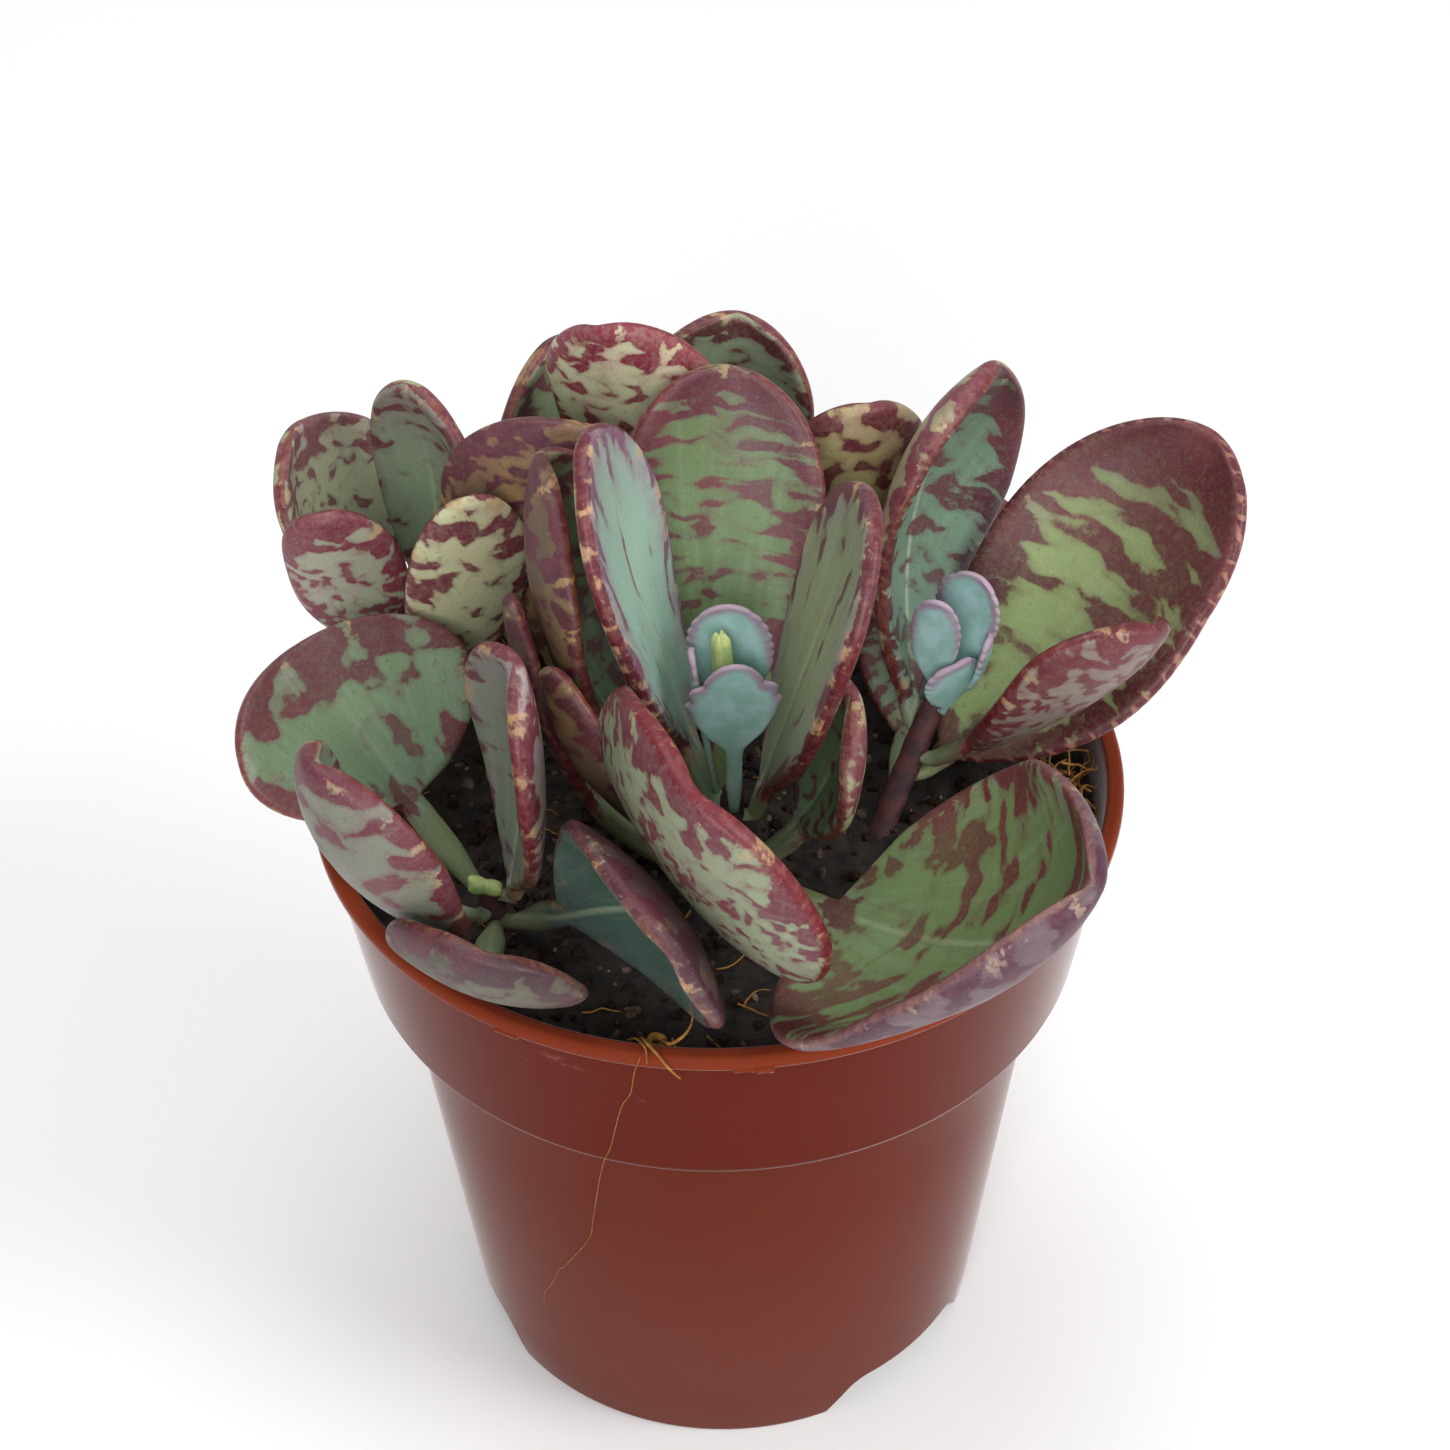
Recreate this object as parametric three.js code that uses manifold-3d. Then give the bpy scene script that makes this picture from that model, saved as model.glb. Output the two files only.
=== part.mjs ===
// Potted penwiper plant, Kalanchoe marmorata, in a thin plastic grow pot.
// Millimetres and degrees, +Z up, origin on the resting surface at the centre of the pot's foot.
// +X is to the right and +Y is to the back.
import * as THREE from 'three';
import { mergeVertices } from 'three/addons/utils/BufferGeometryUtils.js';
import Module from 'manifold-3d';

const wasm = await Module();
wasm.setup();

// Pot
const potHeight = 92.4;
const lipRadius = 52.5;
const lipHeight = 2.4;
const lipOverhang = 1.2;
const collarFootRadius = 47.8;
const collarFootHeight = 67.6;
const bodyTopRadius = 43.5;
const ledgeHeight = 1.4;
const footRadius = 35.6;
const potWall = 1.3;
const footRimWidth = 1.6;
const footRimSlope = 0.6;
const floorLift = 6.2;
const floorThickness = 1.6;
const centreDiscRadius = 12;
const centreDiscSlope = 2.2;
const cornerEase = 0.5;
const potSegments = 48;

// Foot notches and drain holes
const notchMiddles = [-45, 75, -165];
const notchSpan = 46;
const notchTopSpan = 31;
const notchHeight = 5.6;
const notchDepth = 13;
const drainHoleCount = 6;
const drainHoleRadius = 2.6;
const drainHoleSides = 12;
const drainRingRadius = 23;

// Peat filling
const soilLevel = 86;
const soilBump = 0.8;
const moundWidth = 4.3;
const moundDepth = 5.1;
const moundShift = 1.1;
const swellWidth = 7.7;
const swellShare = 0.6;
const soilRings = 6;
const soilSegments = 30;
const soilUnderside = 0.3;
const soilWallEase = 0.1;
const soilCollarLift = 1.4;
const soilLedgeLift = 0.8;
const soilFootDraw = 1.6;

// Fits and stems
const gap = 0.3;
const stemRadius = 1.7;
const stemTipRadius = 1.3;
const stemTipLength = 4;
const stemRoot = 79;
const stemBend = 1;
const stemLap = 0.5;
const holeLap = 1.6;
const holeRise = 4;
const rootDraw = 0.92;
const stemSides = 10;
const nodeOffset = 3.1;
const youngOffset = 2;

// Leaf section
const leafThickness = 2.4;
const youngThickness = 1.2;
const petioleHalfWidth = 1.9;
const petioleThickness = 2.1;
const petioleFoot = 0.6;
const petioleSpread = 12;
const petioleShare = 1 / 6;
const youngPetioleShare = 1 / 12;
const youngPetioleLeast = 0.6;
const petioleDepthShare = 0.9;
const petioleStartCup = 10;
const petioleCup = 15;
const petioleStations = 3;
const bladeStations = 9;
const youngStations = 4;
const tipCrowding = 1.6;
const bendGrowth = 1.6;
const cupAtFoot = 0.25;
const cupGrowth = 1.2;
const leastCup = 0.02;
const lobeDepth = 0.07;
const usualFoot = 0.75;
const usualTip = 0.5;
const seatReach = 3;
const seatStep = 0.05;
const shoulderPlace = 0.88;
const ridgePlace = 0.35;
const shoulderFill = 0.8;

// Colours
const terracotta = 0x9a452c;
const peat = 0x3a2a22;
const stemRed = 0x6b2f35;
const leafGreen = 0x7f9a72;
const leafPale = 0x9fa98a;

const radians = THREE.MathUtils.degToRad;
const up = new THREE.Vector3(0, 0, 1);

// Shoots: two points on each stem's axis, the upper one at its crown
const shoots = {
  centre: { low: [0.5, -17, 86], high: [2, -11, 99] },
  right: { low: [21, -6, 86], high: [29.125, 5.25, 101] },
  left: { low: [-27.5, -24, 86], high: [-29, -22, 93] },
  back_left: { low: [-39.2, 23.2, 86], high: [-38.6, 21.6, 94] },
  inner_left: { low: [-24, 25, 86], high: [-23, 25, 93] },
  back: { low: [-6, 35, 86], high: [-5, 34, 97] },
  back_right: { low: [17, 30, 86], high: [17, 30, 95] },
};

// Leaves. height is where the stalk leaves the stem, heading is the compass direction (90 = back),
// rise lifts the stalk, roll lifts the right margin, stalk, length and width are sizes, bend curls the
// blade up along its length, cup rolls both margins up, neck bends the stalk, sweep turns the blade left.
const leaves = [
  {
    name: 'centre_leaf_back', shoot: 'centre', height: 93.5, heading: 94, rise: 49, roll: -4,
    stalk: 10, length: 47, width: 28, bend: 21, cup: 31, sweep: -7,
  },
  {
    name: 'centre_leaf_left', shoot: 'centre', height: 96.5, heading: 150, rise: 69, roll: -17,
    stalk: 9, length: 44, width: 26, bend: 9, cup: 16,
  },
  {
    name: 'centre_leaf_right', shoot: 'centre', height: 95, heading: 10, rise: 69, roll: 4,
    stalk: 5, length: 44, width: 28, bend: 2, cup: 9, neck: 3, sweep: 4,
  },
  {
    name: 'centre_leaf_front', shoot: 'centre', height: 89.5, heading: -103, rise: 29, roll: 42,
    stalk: 19, length: 39, width: 44, bend: 35, cup: 41, neck: 21, sweep: -4, foot: 0.5,
  },
  {
    name: 'centre_leaf_low_left', shoot: 'centre', height: 90.8, heading: -160, rise: 47, roll: -24,
    stalk: 4, length: 34, width: 13, bend: 48, cup: 34, neck: 2, sweep: -8,
  },
  {
    name: 'centre_leaf_far_left', shoot: 'centre', height: 91.5, heading: 148, rise: 26, roll: -28,
    stalk: 14.5, length: 43, width: 33, bend: 49, cup: 56, neck: 27, sweep: 4,
  },
  {
    name: 'centre_leaf_low_right', shoot: 'centre', height: 89.4, heading: 5, rise: 22, roll: -10,
    stalk: 8.5, length: 24, width: 24, bend: 43, cup: 44, neck: 38, sweep: -3,
  },
  {
    name: 'centre_leaf_low_outer', shoot: 'centre', height: 88.4, heading: 164, rise: 5, roll: -26,
    stalk: 18, length: 30, width: 13, bend: 26, cup: 30, neck: 58, sweep: -3,
  },
  {
    name: 'centre_leaf_over_rim', shoot: 'centre', height: 89, heading: -46, rise: 16, roll: -16,
    stalk: 16.6, length: 51, width: 50, bend: 60, cup: 54, sweep: 16, foot: 0.4,
  },
  {
    name: 'right_leaf_back', shoot: 'right', height: 95, heading: 99, rise: 47.5, roll: -55,
    stalk: 4.3, length: 47.4, width: 33, bend: 70, cup: 49, sweep: 4,
  },
  {
    name: 'right_leaf_large', shoot: 'right', height: 90.6, heading: 33, rise: 24.5, roll: -11,
    stalk: 5, length: 54.7, width: 35.6, bend: 40, cup: 42, sweep: 7, foot: 0.65,
  },
  {
    name: 'right_leaf_on_edge', shoot: 'right', height: 94, heading: -23, rise: 38, roll: 32,
    stalk: 7, length: 32, width: 25, bend: 31, cup: 43,
  },
  {
    name: 'left_leaf_broad', shoot: 'left', height: 91.6, heading: 134.6, rise: 30.4, roll: -1.6,
    stalk: 12.8, length: 24.7, width: 37.2, bend: 9.7, cup: 24.5, sweep: 2, foot: 0.55,
  },
  {
    name: 'left_leaf_upright', shoot: 'left', height: 91.5, heading: -6, rise: 80, roll: -24,
    stalk: 2.5, length: 38, width: 26, bend: 22, cup: 42, sweep: -2,
  },
  {
    name: 'left_leaf_outer', shoot: 'left', height: 90, heading: -133, rise: 41, roll: 9,
    stalk: 4, length: 43, width: 30, bend: 60, cup: 69, sweep: -11,
  },
  {
    name: 'left_leaf_at_rim', shoot: 'left', height: 88.5, heading: -92, rise: 25, roll: 19,
    stalk: 12, length: 24, width: 26, bend: 65, cup: 35, sweep: -4,
  },
  {
    name: 'left_leaf_front', shoot: 'left', height: 88.8, heading: -33, rise: 36, roll: -93,
    stalk: 10, length: 36, width: 31, bend: 68, cup: 28,
  },
  {
    name: 'back_left_leaf_outer', shoot: 'back_left', height: 91.9, heading: 142, rise: 52, roll: -16,
    stalk: 7.3, length: 28, width: 30, bend: 24, cup: 35,
  },
  {
    name: 'back_left_leaf_back', shoot: 'back_left', height: 92, heading: 69.5, rise: 69, roll: 25,
    stalk: 4.4, length: 35, width: 21.5, bend: 36, cup: 20, sweep: 6.5,
  },
  {
    name: 'back_left_leaf_front', shoot: 'back_left', height: 90.5, heading: -132, rise: 67, roll: -44,
    stalk: 8.1, length: 28.6, width: 16, bend: 15, cup: 37, sweep: 2,
  },
  {
    name: 'back_left_leaf_inner', shoot: 'back_left', height: 90, heading: -52, rise: 62, roll: 20,
    stalk: 3, length: 36, width: 17, bend: 38, cup: 28, sweep: -8,
  },
  {
    name: 'back_leaf_front', shoot: 'back', height: 95.5, heading: -112, rise: 80, roll: 1,
    stalk: 9, length: 39, width: 28, bend: 5, cup: 38, sweep: -19,
  },
  {
    name: 'inner_left_leaf_back', shoot: 'inner_left', height: 91, heading: 84, rise: 60, roll: -45,
    stalk: 5.9, length: 36, width: 28, bend: 15, cup: 44,
  },
  {
    name: 'back_leaf_right', shoot: 'back', height: 92.9, heading: 53, rise: 73, roll: -37,
    stalk: 5.6, length: 36, width: 27, bend: 14, cup: 47,
  },
  {
    name: 'inner_left_leaf_front', shoot: 'inner_left', height: 91, heading: -78, rise: 77, roll: 17,
    stalk: 6, length: 37, width: 31, bend: 33, cup: 37,
  },
  {
    name: 'back_right_leaf_front', shoot: 'back_right', height: 92, heading: -69, rise: 83.5, roll: 3.5,
    stalk: 6.6, length: 31.8, width: 23, bend: 16, cup: 49, sweep: 6.5,
  },
  {
    name: 'hidden_leaf_back', shoot: 'back', height: 91.3, heading: 112, rise: 13,
    stalk: 9, length: 29, width: 26, bend: 4, cup: 24,
  },
  {
    name: 'hidden_leaf_back_right', shoot: 'back_right', height: 91.8, heading: 99, rise: 11.5,
    stalk: 9, length: 25, width: 23, bend: 2, cup: 26,
  },
  {
    name: 'hidden_leaf_right', shoot: 'back_right', height: 91.8, heading: 38, rise: 11.5,
    stalk: 8, length: 19.5, width: 18, bend: 2, cup: 24,
  },
  {
    name: 'hidden_leaf_left', shoot: 'inner_left', height: 88.6, heading: 124, rise: 28,
    stalk: 10, length: 24, width: 20, bend: 4, cup: 20,
  },
  {
    name: 'hidden_leaf_under', shoot: 'right', height: 88.6, heading: 76, rise: 12,
    stalk: 9, length: 24, width: 19, bend: 4, cup: 20,
  },
];

// Young leaves at the crowns, grown together with their stem. lobes is the number along each margin.
const youngLeaves = [
  {
    shoot: 'centre', height: 97, heading: -83, rise: 86, stalk: 11, length: 14, width: 12.2,
    bend: 4, cup: 12, lobes: 4,
  },
  {
    shoot: 'centre', height: 98, heading: 84, rise: 85, stalk: 12, length: 15.2, width: 11,
    bend: 6, cup: 12, sweep: 9, lobes: 7,
  },
  {
    shoot: 'centre', height: 98, heading: -178, rise: 82, stalk: 14, length: 9.5, width: 5,
    bend: 6, cup: 16, lobes: 4,
  },
  {
    shoot: 'right', height: 100, heading: 34, rise: 78, roll: -20, stalk: 3.5, length: 14.6,
    width: 9.8, bend: 10, cup: 20, sweep: -6, lobes: 7,
  },
  {
    shoot: 'right', height: 100, heading: -112, rise: 86, stalk: 3.5, length: 14.2, width: 6.8,
    bend: 4, cup: 10, sweep: 4, lobes: 6,
  },
  {
    shoot: 'right', height: 99, heading: -58, rise: 70, stalk: 1.5, length: 9, width: 8.2,
    bend: 14, cup: 20, sweep: -6, lobes: 5,
  },
  {
    shoot: 'right', height: 99, heading: -4, rise: 58, stalk: 3, length: 10, width: 7,
    bend: 34, cup: 40, lobes: 5,
  },
  ...Object.entries({
    back_left: [-5, 185], inner_left: [0, 180], back: [-25, 155], back_right: [25, 170],
  }).flatMap(([shoot, pair]) => pair.map((heading) => ({
    shoot, height: shoots[shoot].high[2] - 1, heading, rise: 80, stalk: 1.5, length: 5.5, width: 4.5,
    bend: 14, cup: 40, lobes: 0,
  }))),
];

// Bud between the centre's young leaves, and the cut stub on the left crown
const bud = { foot: [1.8, -11.4, 97.5], top: [0.6, -11, 123.4], footRadius: 0.8, topRadius: 1.3, sides: 8 };
const stub = { from: [-31.2, -23.2, 94], to: [-26.9, -23.6, 93.2], radius: 1.1, sides: 8 };

// Closed geometry with shared corners, its faces turned outward
function closed(positions, index) {
  const geometry = new THREE.BufferGeometry();
  geometry.setAttribute('position', new THREE.Float32BufferAttribute(positions, 3));
  geometry.setIndex(volume(positions, index) < 0 ? flipped(index) : index);
  return geometry;
}

function volume(positions, index) {
  const corner = (i) => new THREE.Vector3().fromArray(positions, 3 * i);
  let sum = 0;
  for (let i = 0; i < index.length; i += 3) {
    sum += corner(index[i]).dot(corner(index[i + 1]).cross(corner(index[i + 2]))) / 6;
  }
  return sum;
}

function flipped(index) {
  return index.flatMap((value, i) => (i % 3 === 0 ? [value, index[i + 2], index[i + 1]] : []));
}

// Solid for joining and cutting, from any closed three.js geometry
function solid(source) {
  const bare = source.clone();
  bare.deleteAttribute('normal');
  bare.deleteAttribute('uv');
  const merged = mergeVertices(bare);
  const positions = Array.from(merged.attributes.position.array);
  const index = Array.from(merged.index.array);
  const kept = [];
  for (let i = 0; i < index.length; i += 3) {
    const [a, b, c] = index.slice(i, i + 3);
    if (a !== b && b !== c && c !== a) kept.push(a, b, c);
  }
  const facing = volume(positions, kept) < 0 ? flipped(kept) : kept;
  const mesh = new wasm.Mesh({
    numProp: 3,
    vertProperties: new Float32Array(positions),
    triVerts: new Uint32Array(facing),
  });
  return new wasm.Manifold(mesh);
}

function geometryOf(body) {
  const { vertProperties, triVerts, numProp } = body.getMesh();
  const geometry = new THREE.BufferGeometry();
  const positions = [];
  for (let i = 0; i < vertProperties.length; i += numProp) {
    positions.push(vertProperties[i], vertProperties[i + 1], vertProperties[i + 2]);
  }
  geometry.setAttribute('position', new THREE.Float32BufferAttribute(positions, 3));
  geometry.setIndex(Array.from(triVerts));
  return geometry;
}

// Lathe about Z from a closed profile of [radius, height] points
function turned(profile, segments) {
  const points = profile.map(([radius, height]) => new THREE.Vector2(radius, height));
  return new THREE.LatheGeometry(points, segments).rotateX(Math.PI / 2);
}

// Round bar from one point to another
function bar(from, to, startRadius, endRadius, sides) {
  const run = new THREE.Vector3().subVectors(to, from);
  const turn = new THREE.Quaternion().setFromUnitVectors(new THREE.Vector3(0, 1, 0), run.clone().normalize());
  const middle = new THREE.Vector3().addVectors(from, to).multiplyScalar(0.5);
  return new THREE.CylinderGeometry(endRadius, startRadius, run.length(), sides)
    .applyQuaternion(turn)
    .translate(middle.x, middle.y, middle.z);
}

// Point on a shoot's axis at a height
function onAxis(shoot, height) {
  const low = new THREE.Vector3(...shoots[shoot].low);
  const high = new THREE.Vector3(...shoots[shoot].high);
  return low.clone().lerp(high, (height - low.z) / (high.z - low.z));
}

// Foot of a stem in the peat, drawn in from the pot's wall
function stemFoot(shoot, height) {
  const low = onAxis(shoot, soilLevel);
  return new THREE.Vector3(low.x * rootDraw, low.y * rootDraw, height);
}

// Half width of a blade along its length, 1 at the widest place
function outline(along, foot, tip) {
  const peak = foot / (foot + tip);
  const height = peak ** foot * (1 - peak) ** tip;
  return (along ** foot * (1 - along) ** tip) / height;
}

// A leaf's travelling frame: a runs along the leaf, b to its right margin, n out of its upper face
function startFrame(heading, rise) {
  const turn = radians(heading);
  const lift = radians(rise);
  const flat = new THREE.Vector3(Math.cos(turn), Math.sin(turn), 0);
  const a = flat.clone().multiplyScalar(Math.cos(lift)).addScaledVector(up, Math.sin(lift));
  const n = flat.clone().multiplyScalar(-Math.sin(lift)).addScaledVector(up, Math.cos(lift));
  return { a, b: new THREE.Vector3().crossVectors(a, n), n };
}

function rolled(frame, angle) {
  const b = frame.b.clone().multiplyScalar(Math.cos(angle)).addScaledVector(frame.n, Math.sin(angle));
  const n = frame.n.clone().multiplyScalar(Math.cos(angle)).addScaledVector(frame.b, -Math.sin(angle));
  return { a: frame.a, b, n };
}

// Ring of points round a leaf's section: right margin, upper face, left margin, lower face
function sectionRing(place, frame, halfWidth, cup, thickness) {
  const point = (across, lift) => {
    const angle = cup * across;
    const sideways = (halfWidth * Math.sin(angle)) / cup;
    const upward = (halfWidth * (1 - Math.cos(angle))) / cup;
    return place.clone()
      .addScaledVector(frame.b, sideways - lift * Math.sin(angle))
      .addScaledVector(frame.n, upward + lift * Math.cos(angle));
  };
  const half = thickness / 2;
  const face = [
    [shoulderPlace, shoulderFill],
    [ridgePlace, 1],
    [-ridgePlace, 1],
    [-shoulderPlace, shoulderFill],
  ];
  const upper = face.map(([across, fill]) => point(across, half * fill));
  const lower = face.map(([across, fill]) => point(-across, -half * fill));
  return [point(1, 0), ...upper, point(-1, 0), ...lower];
}

// How far back along its own line a stalk can start before its end would touch the stem
function seat(shoot, node, along, endRing) {
  const low = onAxis(shoot, soilLevel);
  const axis = onAxis(shoot, soilLevel + 1).sub(low).normalize();
  const clearance = (point) => {
    const offset = point.clone().sub(low);
    return offset.addScaledVector(axis, -offset.dot(axis)).length();
  };
  let setBack = seatReach;
  const clears = () => endRing(node.clone().addScaledVector(along, -setBack))
    .every((point) => clearance(point) > stemRadius + gap);
  while (!clears()) setBack -= seatStep;
  return setBack;
}

// A leaf is a closed grid of such rings along its stalk and blade
function leafGeometry(leaf, thickness, sunk) {
  const { heading, rise, roll = 0, stalk, length, width, bend, cup, neck = 0, sweep = 0 } = leaf;
  const { foot = usualFoot, tip = usualTip, lobes = 0 } = leaf;
  const frame = startFrame(heading, rise);
  const outward = new THREE.Vector3(Math.cos(radians(heading)), Math.sin(radians(heading)), 0);
  const offset = sunk ? youngOffset : nodeOffset;
  const node = onAxis(leaf.shoot, leaf.height).addScaledVector(outward, offset);
  const halfPetiole = sunk
    ? Math.max(youngPetioleLeast, width * youngPetioleShare)
    : Math.min(petioleHalfWidth, width * petioleShare);
  const petioleDepth = Math.min(petioleThickness, thickness * petioleDepthShare);
  const startHalf = halfPetiole * petioleFoot;
  const endRing = (place) => sectionRing(place, frame, startHalf, radians(petioleStartCup), petioleDepth);
  const setBack = sunk ? 0 : seat(leaf.shoot, node, frame.a, endRing);
  const place = sunk ? onAxis(leaf.shoot, leaf.height) : node.clone().addScaledVector(frame.a, -setBack);
  const rings = [endRing(place)];

  // Stalk
  if (sunk) place.copy(node);
  for (let i = 1; i <= petioleStations; i += 1) {
    place.addScaledVector(frame.a, (stalk + setBack) / petioleStations);
    const bendStep = radians(neck / petioleStations);
    frame.a.applyAxisAngle(frame.b, bendStep);
    frame.n.applyAxisAngle(frame.b, bendStep);
    const part = i / petioleStations;
    const depth = THREE.MathUtils.lerp(petioleDepth, thickness, part);
    if (i < petioleStations) {
      const twisted = rolled(frame, radians(roll) * part);
      const spread = Math.min(1, petioleFoot + (stalk * part) / petioleSpread);
      rings.push(sectionRing(place.clone(), twisted, halfPetiole * spread, radians(petioleCup), depth));
    }
  }

  // Blade
  const { b, n } = rolled(frame, radians(roll));
  const a = frame.a;
  const stations = sunk ? youngStations + lobes : bladeStations;
  let previous = 0;
  for (let i = 0; i <= stations; i += 1) {
    const along = 1 - (1 - i / stations) ** tipCrowding;
    const step = along - previous;
    place.addScaledVector(a, length * step);
    const curl = radians(bend) * (along ** bendGrowth - previous ** bendGrowth);
    a.applyAxisAngle(b, curl);
    n.applyAxisAngle(b, curl);
    a.applyAxisAngle(n, radians(sweep) * step);
    b.addScaledVector(a, -a.dot(b)).normalize();
    n.crossVectors(b, a).normalize();
    previous = along;
    const scallop = lobes && i % 2 === 1 ? 1 - lobeDepth : 1;
    const blade = (width / 2) * outline(along, foot, tip) * scallop;
    const halfWidth = Math.hypot(blade, halfPetiole * (1 - along) ** 2);
    const rollUp = radians(cup) * Math.min(1, cupAtFoot + cupGrowth * along);
    if (i < stations) {
      rings.push(sectionRing(place.clone(), { a, b, n }, halfWidth, Math.max(rollUp, leastCup), thickness));
    }
  }
  return closedRings(rings, place);
}

// Skin over a stack of rings, capped flat at the start and by a point at the end
function closedRings(rings, apex) {
  const size = rings[0].length;
  const positions = rings.flat().flatMap((point) => point.toArray());
  const index = [];
  const middle = rings[0].reduce((sum, point) => sum.add(point), new THREE.Vector3()).divideScalar(size);
  const startPoint = positions.length / 3;
  positions.push(...middle.toArray(), ...apex.toArray());
  for (let i = 0; i < size; i += 1) {
    const next = (i + 1) % size;
    index.push(startPoint, next, i);
    const last = size * (rings.length - 1);
    index.push(startPoint + 1, last + i, last + next);
    for (let ring = 0; ring + 1 < rings.length; ring += 1) {
      const near = size * ring;
      const far = near + size;
      index.push(near + i, near + next, far + i, near + next, far + next, far + i);
    }
  }
  return closed(positions, index);
}

// Thin pot with a collar, a rolled lip, a raised floor and a notched foot
function potGeometry() {
  const lipFoot = potHeight - lipHeight;
  const collarTop = lipRadius - lipOverhang;
  const inner = (radius) => radius - potWall;
  const floorTop = floorLift + floorThickness;
  const bodyTop = collarFootHeight - ledgeHeight;
  const floorEdge = footRadius + ((bodyTopRadius - footRadius) * floorTop) / bodyTop;
  const profile = [
    [0, 0],
    [centreDiscRadius, 0],
    [centreDiscRadius + centreDiscSlope, floorLift],
    [footRadius - footRimWidth + footRimSlope, floorLift],
    [footRadius - footRimWidth, 0],
    [footRadius - cornerEase, 0],
    [footRadius, cornerEase],
    [bodyTopRadius, bodyTop],
    [collarFootRadius - cornerEase, collarFootHeight - ledgeHeight / 2],
    [collarFootRadius, collarFootHeight],
    [collarTop, lipFoot],
    [lipRadius, lipFoot + cornerEase],
    [lipRadius, potHeight - cornerEase],
    [lipRadius - cornerEase, potHeight],
    [inner(collarTop) + cornerEase, potHeight],
    [inner(collarTop), lipFoot],
    [inner(collarFootRadius), collarFootHeight + cornerEase],
    [inner(bodyTopRadius), bodyTop + cornerEase],
    [inner(floorEdge), floorTop],
    [centreDiscRadius + centreDiscSlope / 2, floorTop],
    [centreDiscRadius - cornerEase, floorThickness],
    [0, floorThickness],
  ];
  let pot = solid(turned(profile, potSegments));
  for (const middle of notchMiddles) pot = pot.subtract(solid(notchCutter(middle)));
  for (let i = 0; i < drainHoleCount; i += 1) {
    const turn = radians((i * 360) / drainHoleCount);
    const foot = new THREE.Vector3(drainRingRadius * Math.cos(turn), drainRingRadius * Math.sin(turn), 0);
    const top = foot.clone().setZ(floorTop + floorThickness);
    pot = pot.subtract(solid(bar(foot, top, drainHoleRadius, drainHoleRadius, drainHoleSides)));
  }
  return geometryOf(pot);
}

// Block that cuts one notch out of the foot's rim, narrower at its top
function notchCutter(middle) {
  const halfFoot = footRadius * Math.sin(radians(notchSpan / 2));
  const halfTop = footRadius * Math.sin(radians(notchTopSpan / 2));
  const slope = (halfFoot - halfTop) / notchHeight;
  const shape = new THREE.Shape([
    new THREE.Vector2(-halfFoot - slope, -1),
    new THREE.Vector2(halfFoot + slope, -1),
    new THREE.Vector2(halfTop, notchHeight),
    new THREE.Vector2(-halfTop, notchHeight),
  ]);
  const start = footRadius - notchDepth / 2 - 1;
  return new THREE.ExtrudeGeometry(shape, { depth: notchDepth, bevelEnabled: false })
    .rotateX(Math.PI / 2)
    .rotateZ(Math.PI / 2)
    .translate(start, 0, 0)
    .rotateZ(radians(middle));
}

// Height of the peat at a place, a few gentle mounds
function soilHeight(x, y) {
  const small = Math.sin(x / moundWidth + moundShift) * Math.cos(y / moundDepth);
  const wide = swellShare * Math.sin((x + 2 * y) / swellWidth);
  return soilLevel + (soilBump * (small + wide)) / (1 + swellShare);
}

function soilGeometry() {
  const wallRadius = (height) => {
    const collar = collarFootRadius - potWall;
    const top = lipRadius - lipOverhang - potWall;
    const part = (height - collarFootHeight) / (potHeight - lipHeight - collarFootHeight);
    return THREE.MathUtils.lerp(collar, top, part) - gap - soilWallEase;
  };
  const sides = [
    [wallRadius(collarFootHeight + soilCollarLift), collarFootHeight + soilCollarLift],
    [bodyTopRadius - potWall - 2 * gap, collarFootHeight - ledgeHeight + soilLedgeLift],
    [footRadius - soilFootDraw, floorLift + floorThickness + soilUnderside],
    [centreDiscRadius, floorLift + floorThickness + soilUnderside],
    [centreDiscRadius - 2 * cornerEase - gap, floorThickness + soilUnderside],
  ];
  const positions = [0, 0, soilHeight(0, 0)];
  const index = [];
  const ringAt = (radiusAt, heightAt) => {
    for (let i = 0; i < soilSegments; i += 1) {
      const turn = (2 * Math.PI * i) / soilSegments;
      const radius = radiusAt(turn);
      const x = radius * Math.cos(turn);
      const y = radius * Math.sin(turn);
      positions.push(x, y, heightAt(x, y));
    }
  };
  for (let ring = 1; ring <= soilRings; ring += 1) {
    ringAt(() => (wallRadius(soilLevel - soilBump) * ring) / soilRings, soilHeight);
  }
  sides.forEach(([radius, height]) => ringAt(() => radius, () => height));
  const ringCount = soilRings + sides.length;
  const bottom = positions.length / 3;
  positions.push(0, 0, floorThickness + soilUnderside);
  for (let i = 0; i < soilSegments; i += 1) {
    const next = (i + 1) % soilSegments;
    index.push(0, 1 + i, 1 + next);
    for (let ring = 0; ring + 1 < ringCount; ring += 1) {
      const near = 1 + ring * soilSegments;
      const far = near + soilSegments;
      index.push(near + i, far + i, near + next, near + next, far + i, far + next);
    }
    const last = 1 + (ringCount - 1) * soilSegments;
    index.push(bottom, last + next, last + i);
  }
  let soil = solid(closed(positions, index));
  for (const shoot of Object.keys(shoots)) {
    const bend = onAxis(shoot, soilLevel - stemBend);
    const under = onAxis(shoot, soilLevel - stemBend - holeLap);
    const out = onAxis(shoot, soilLevel + holeRise);
    const hole = (stemRadius + gap) / Math.cos(Math.PI / stemSides);
    soil = soil.subtract(solid(bar(stemFoot(shoot, stemRoot - gap), bend, hole, hole, stemSides)));
    soil = soil.subtract(solid(bar(under, out, hole, hole, stemSides)));
  }
  return geometryOf(soil);
}

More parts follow.
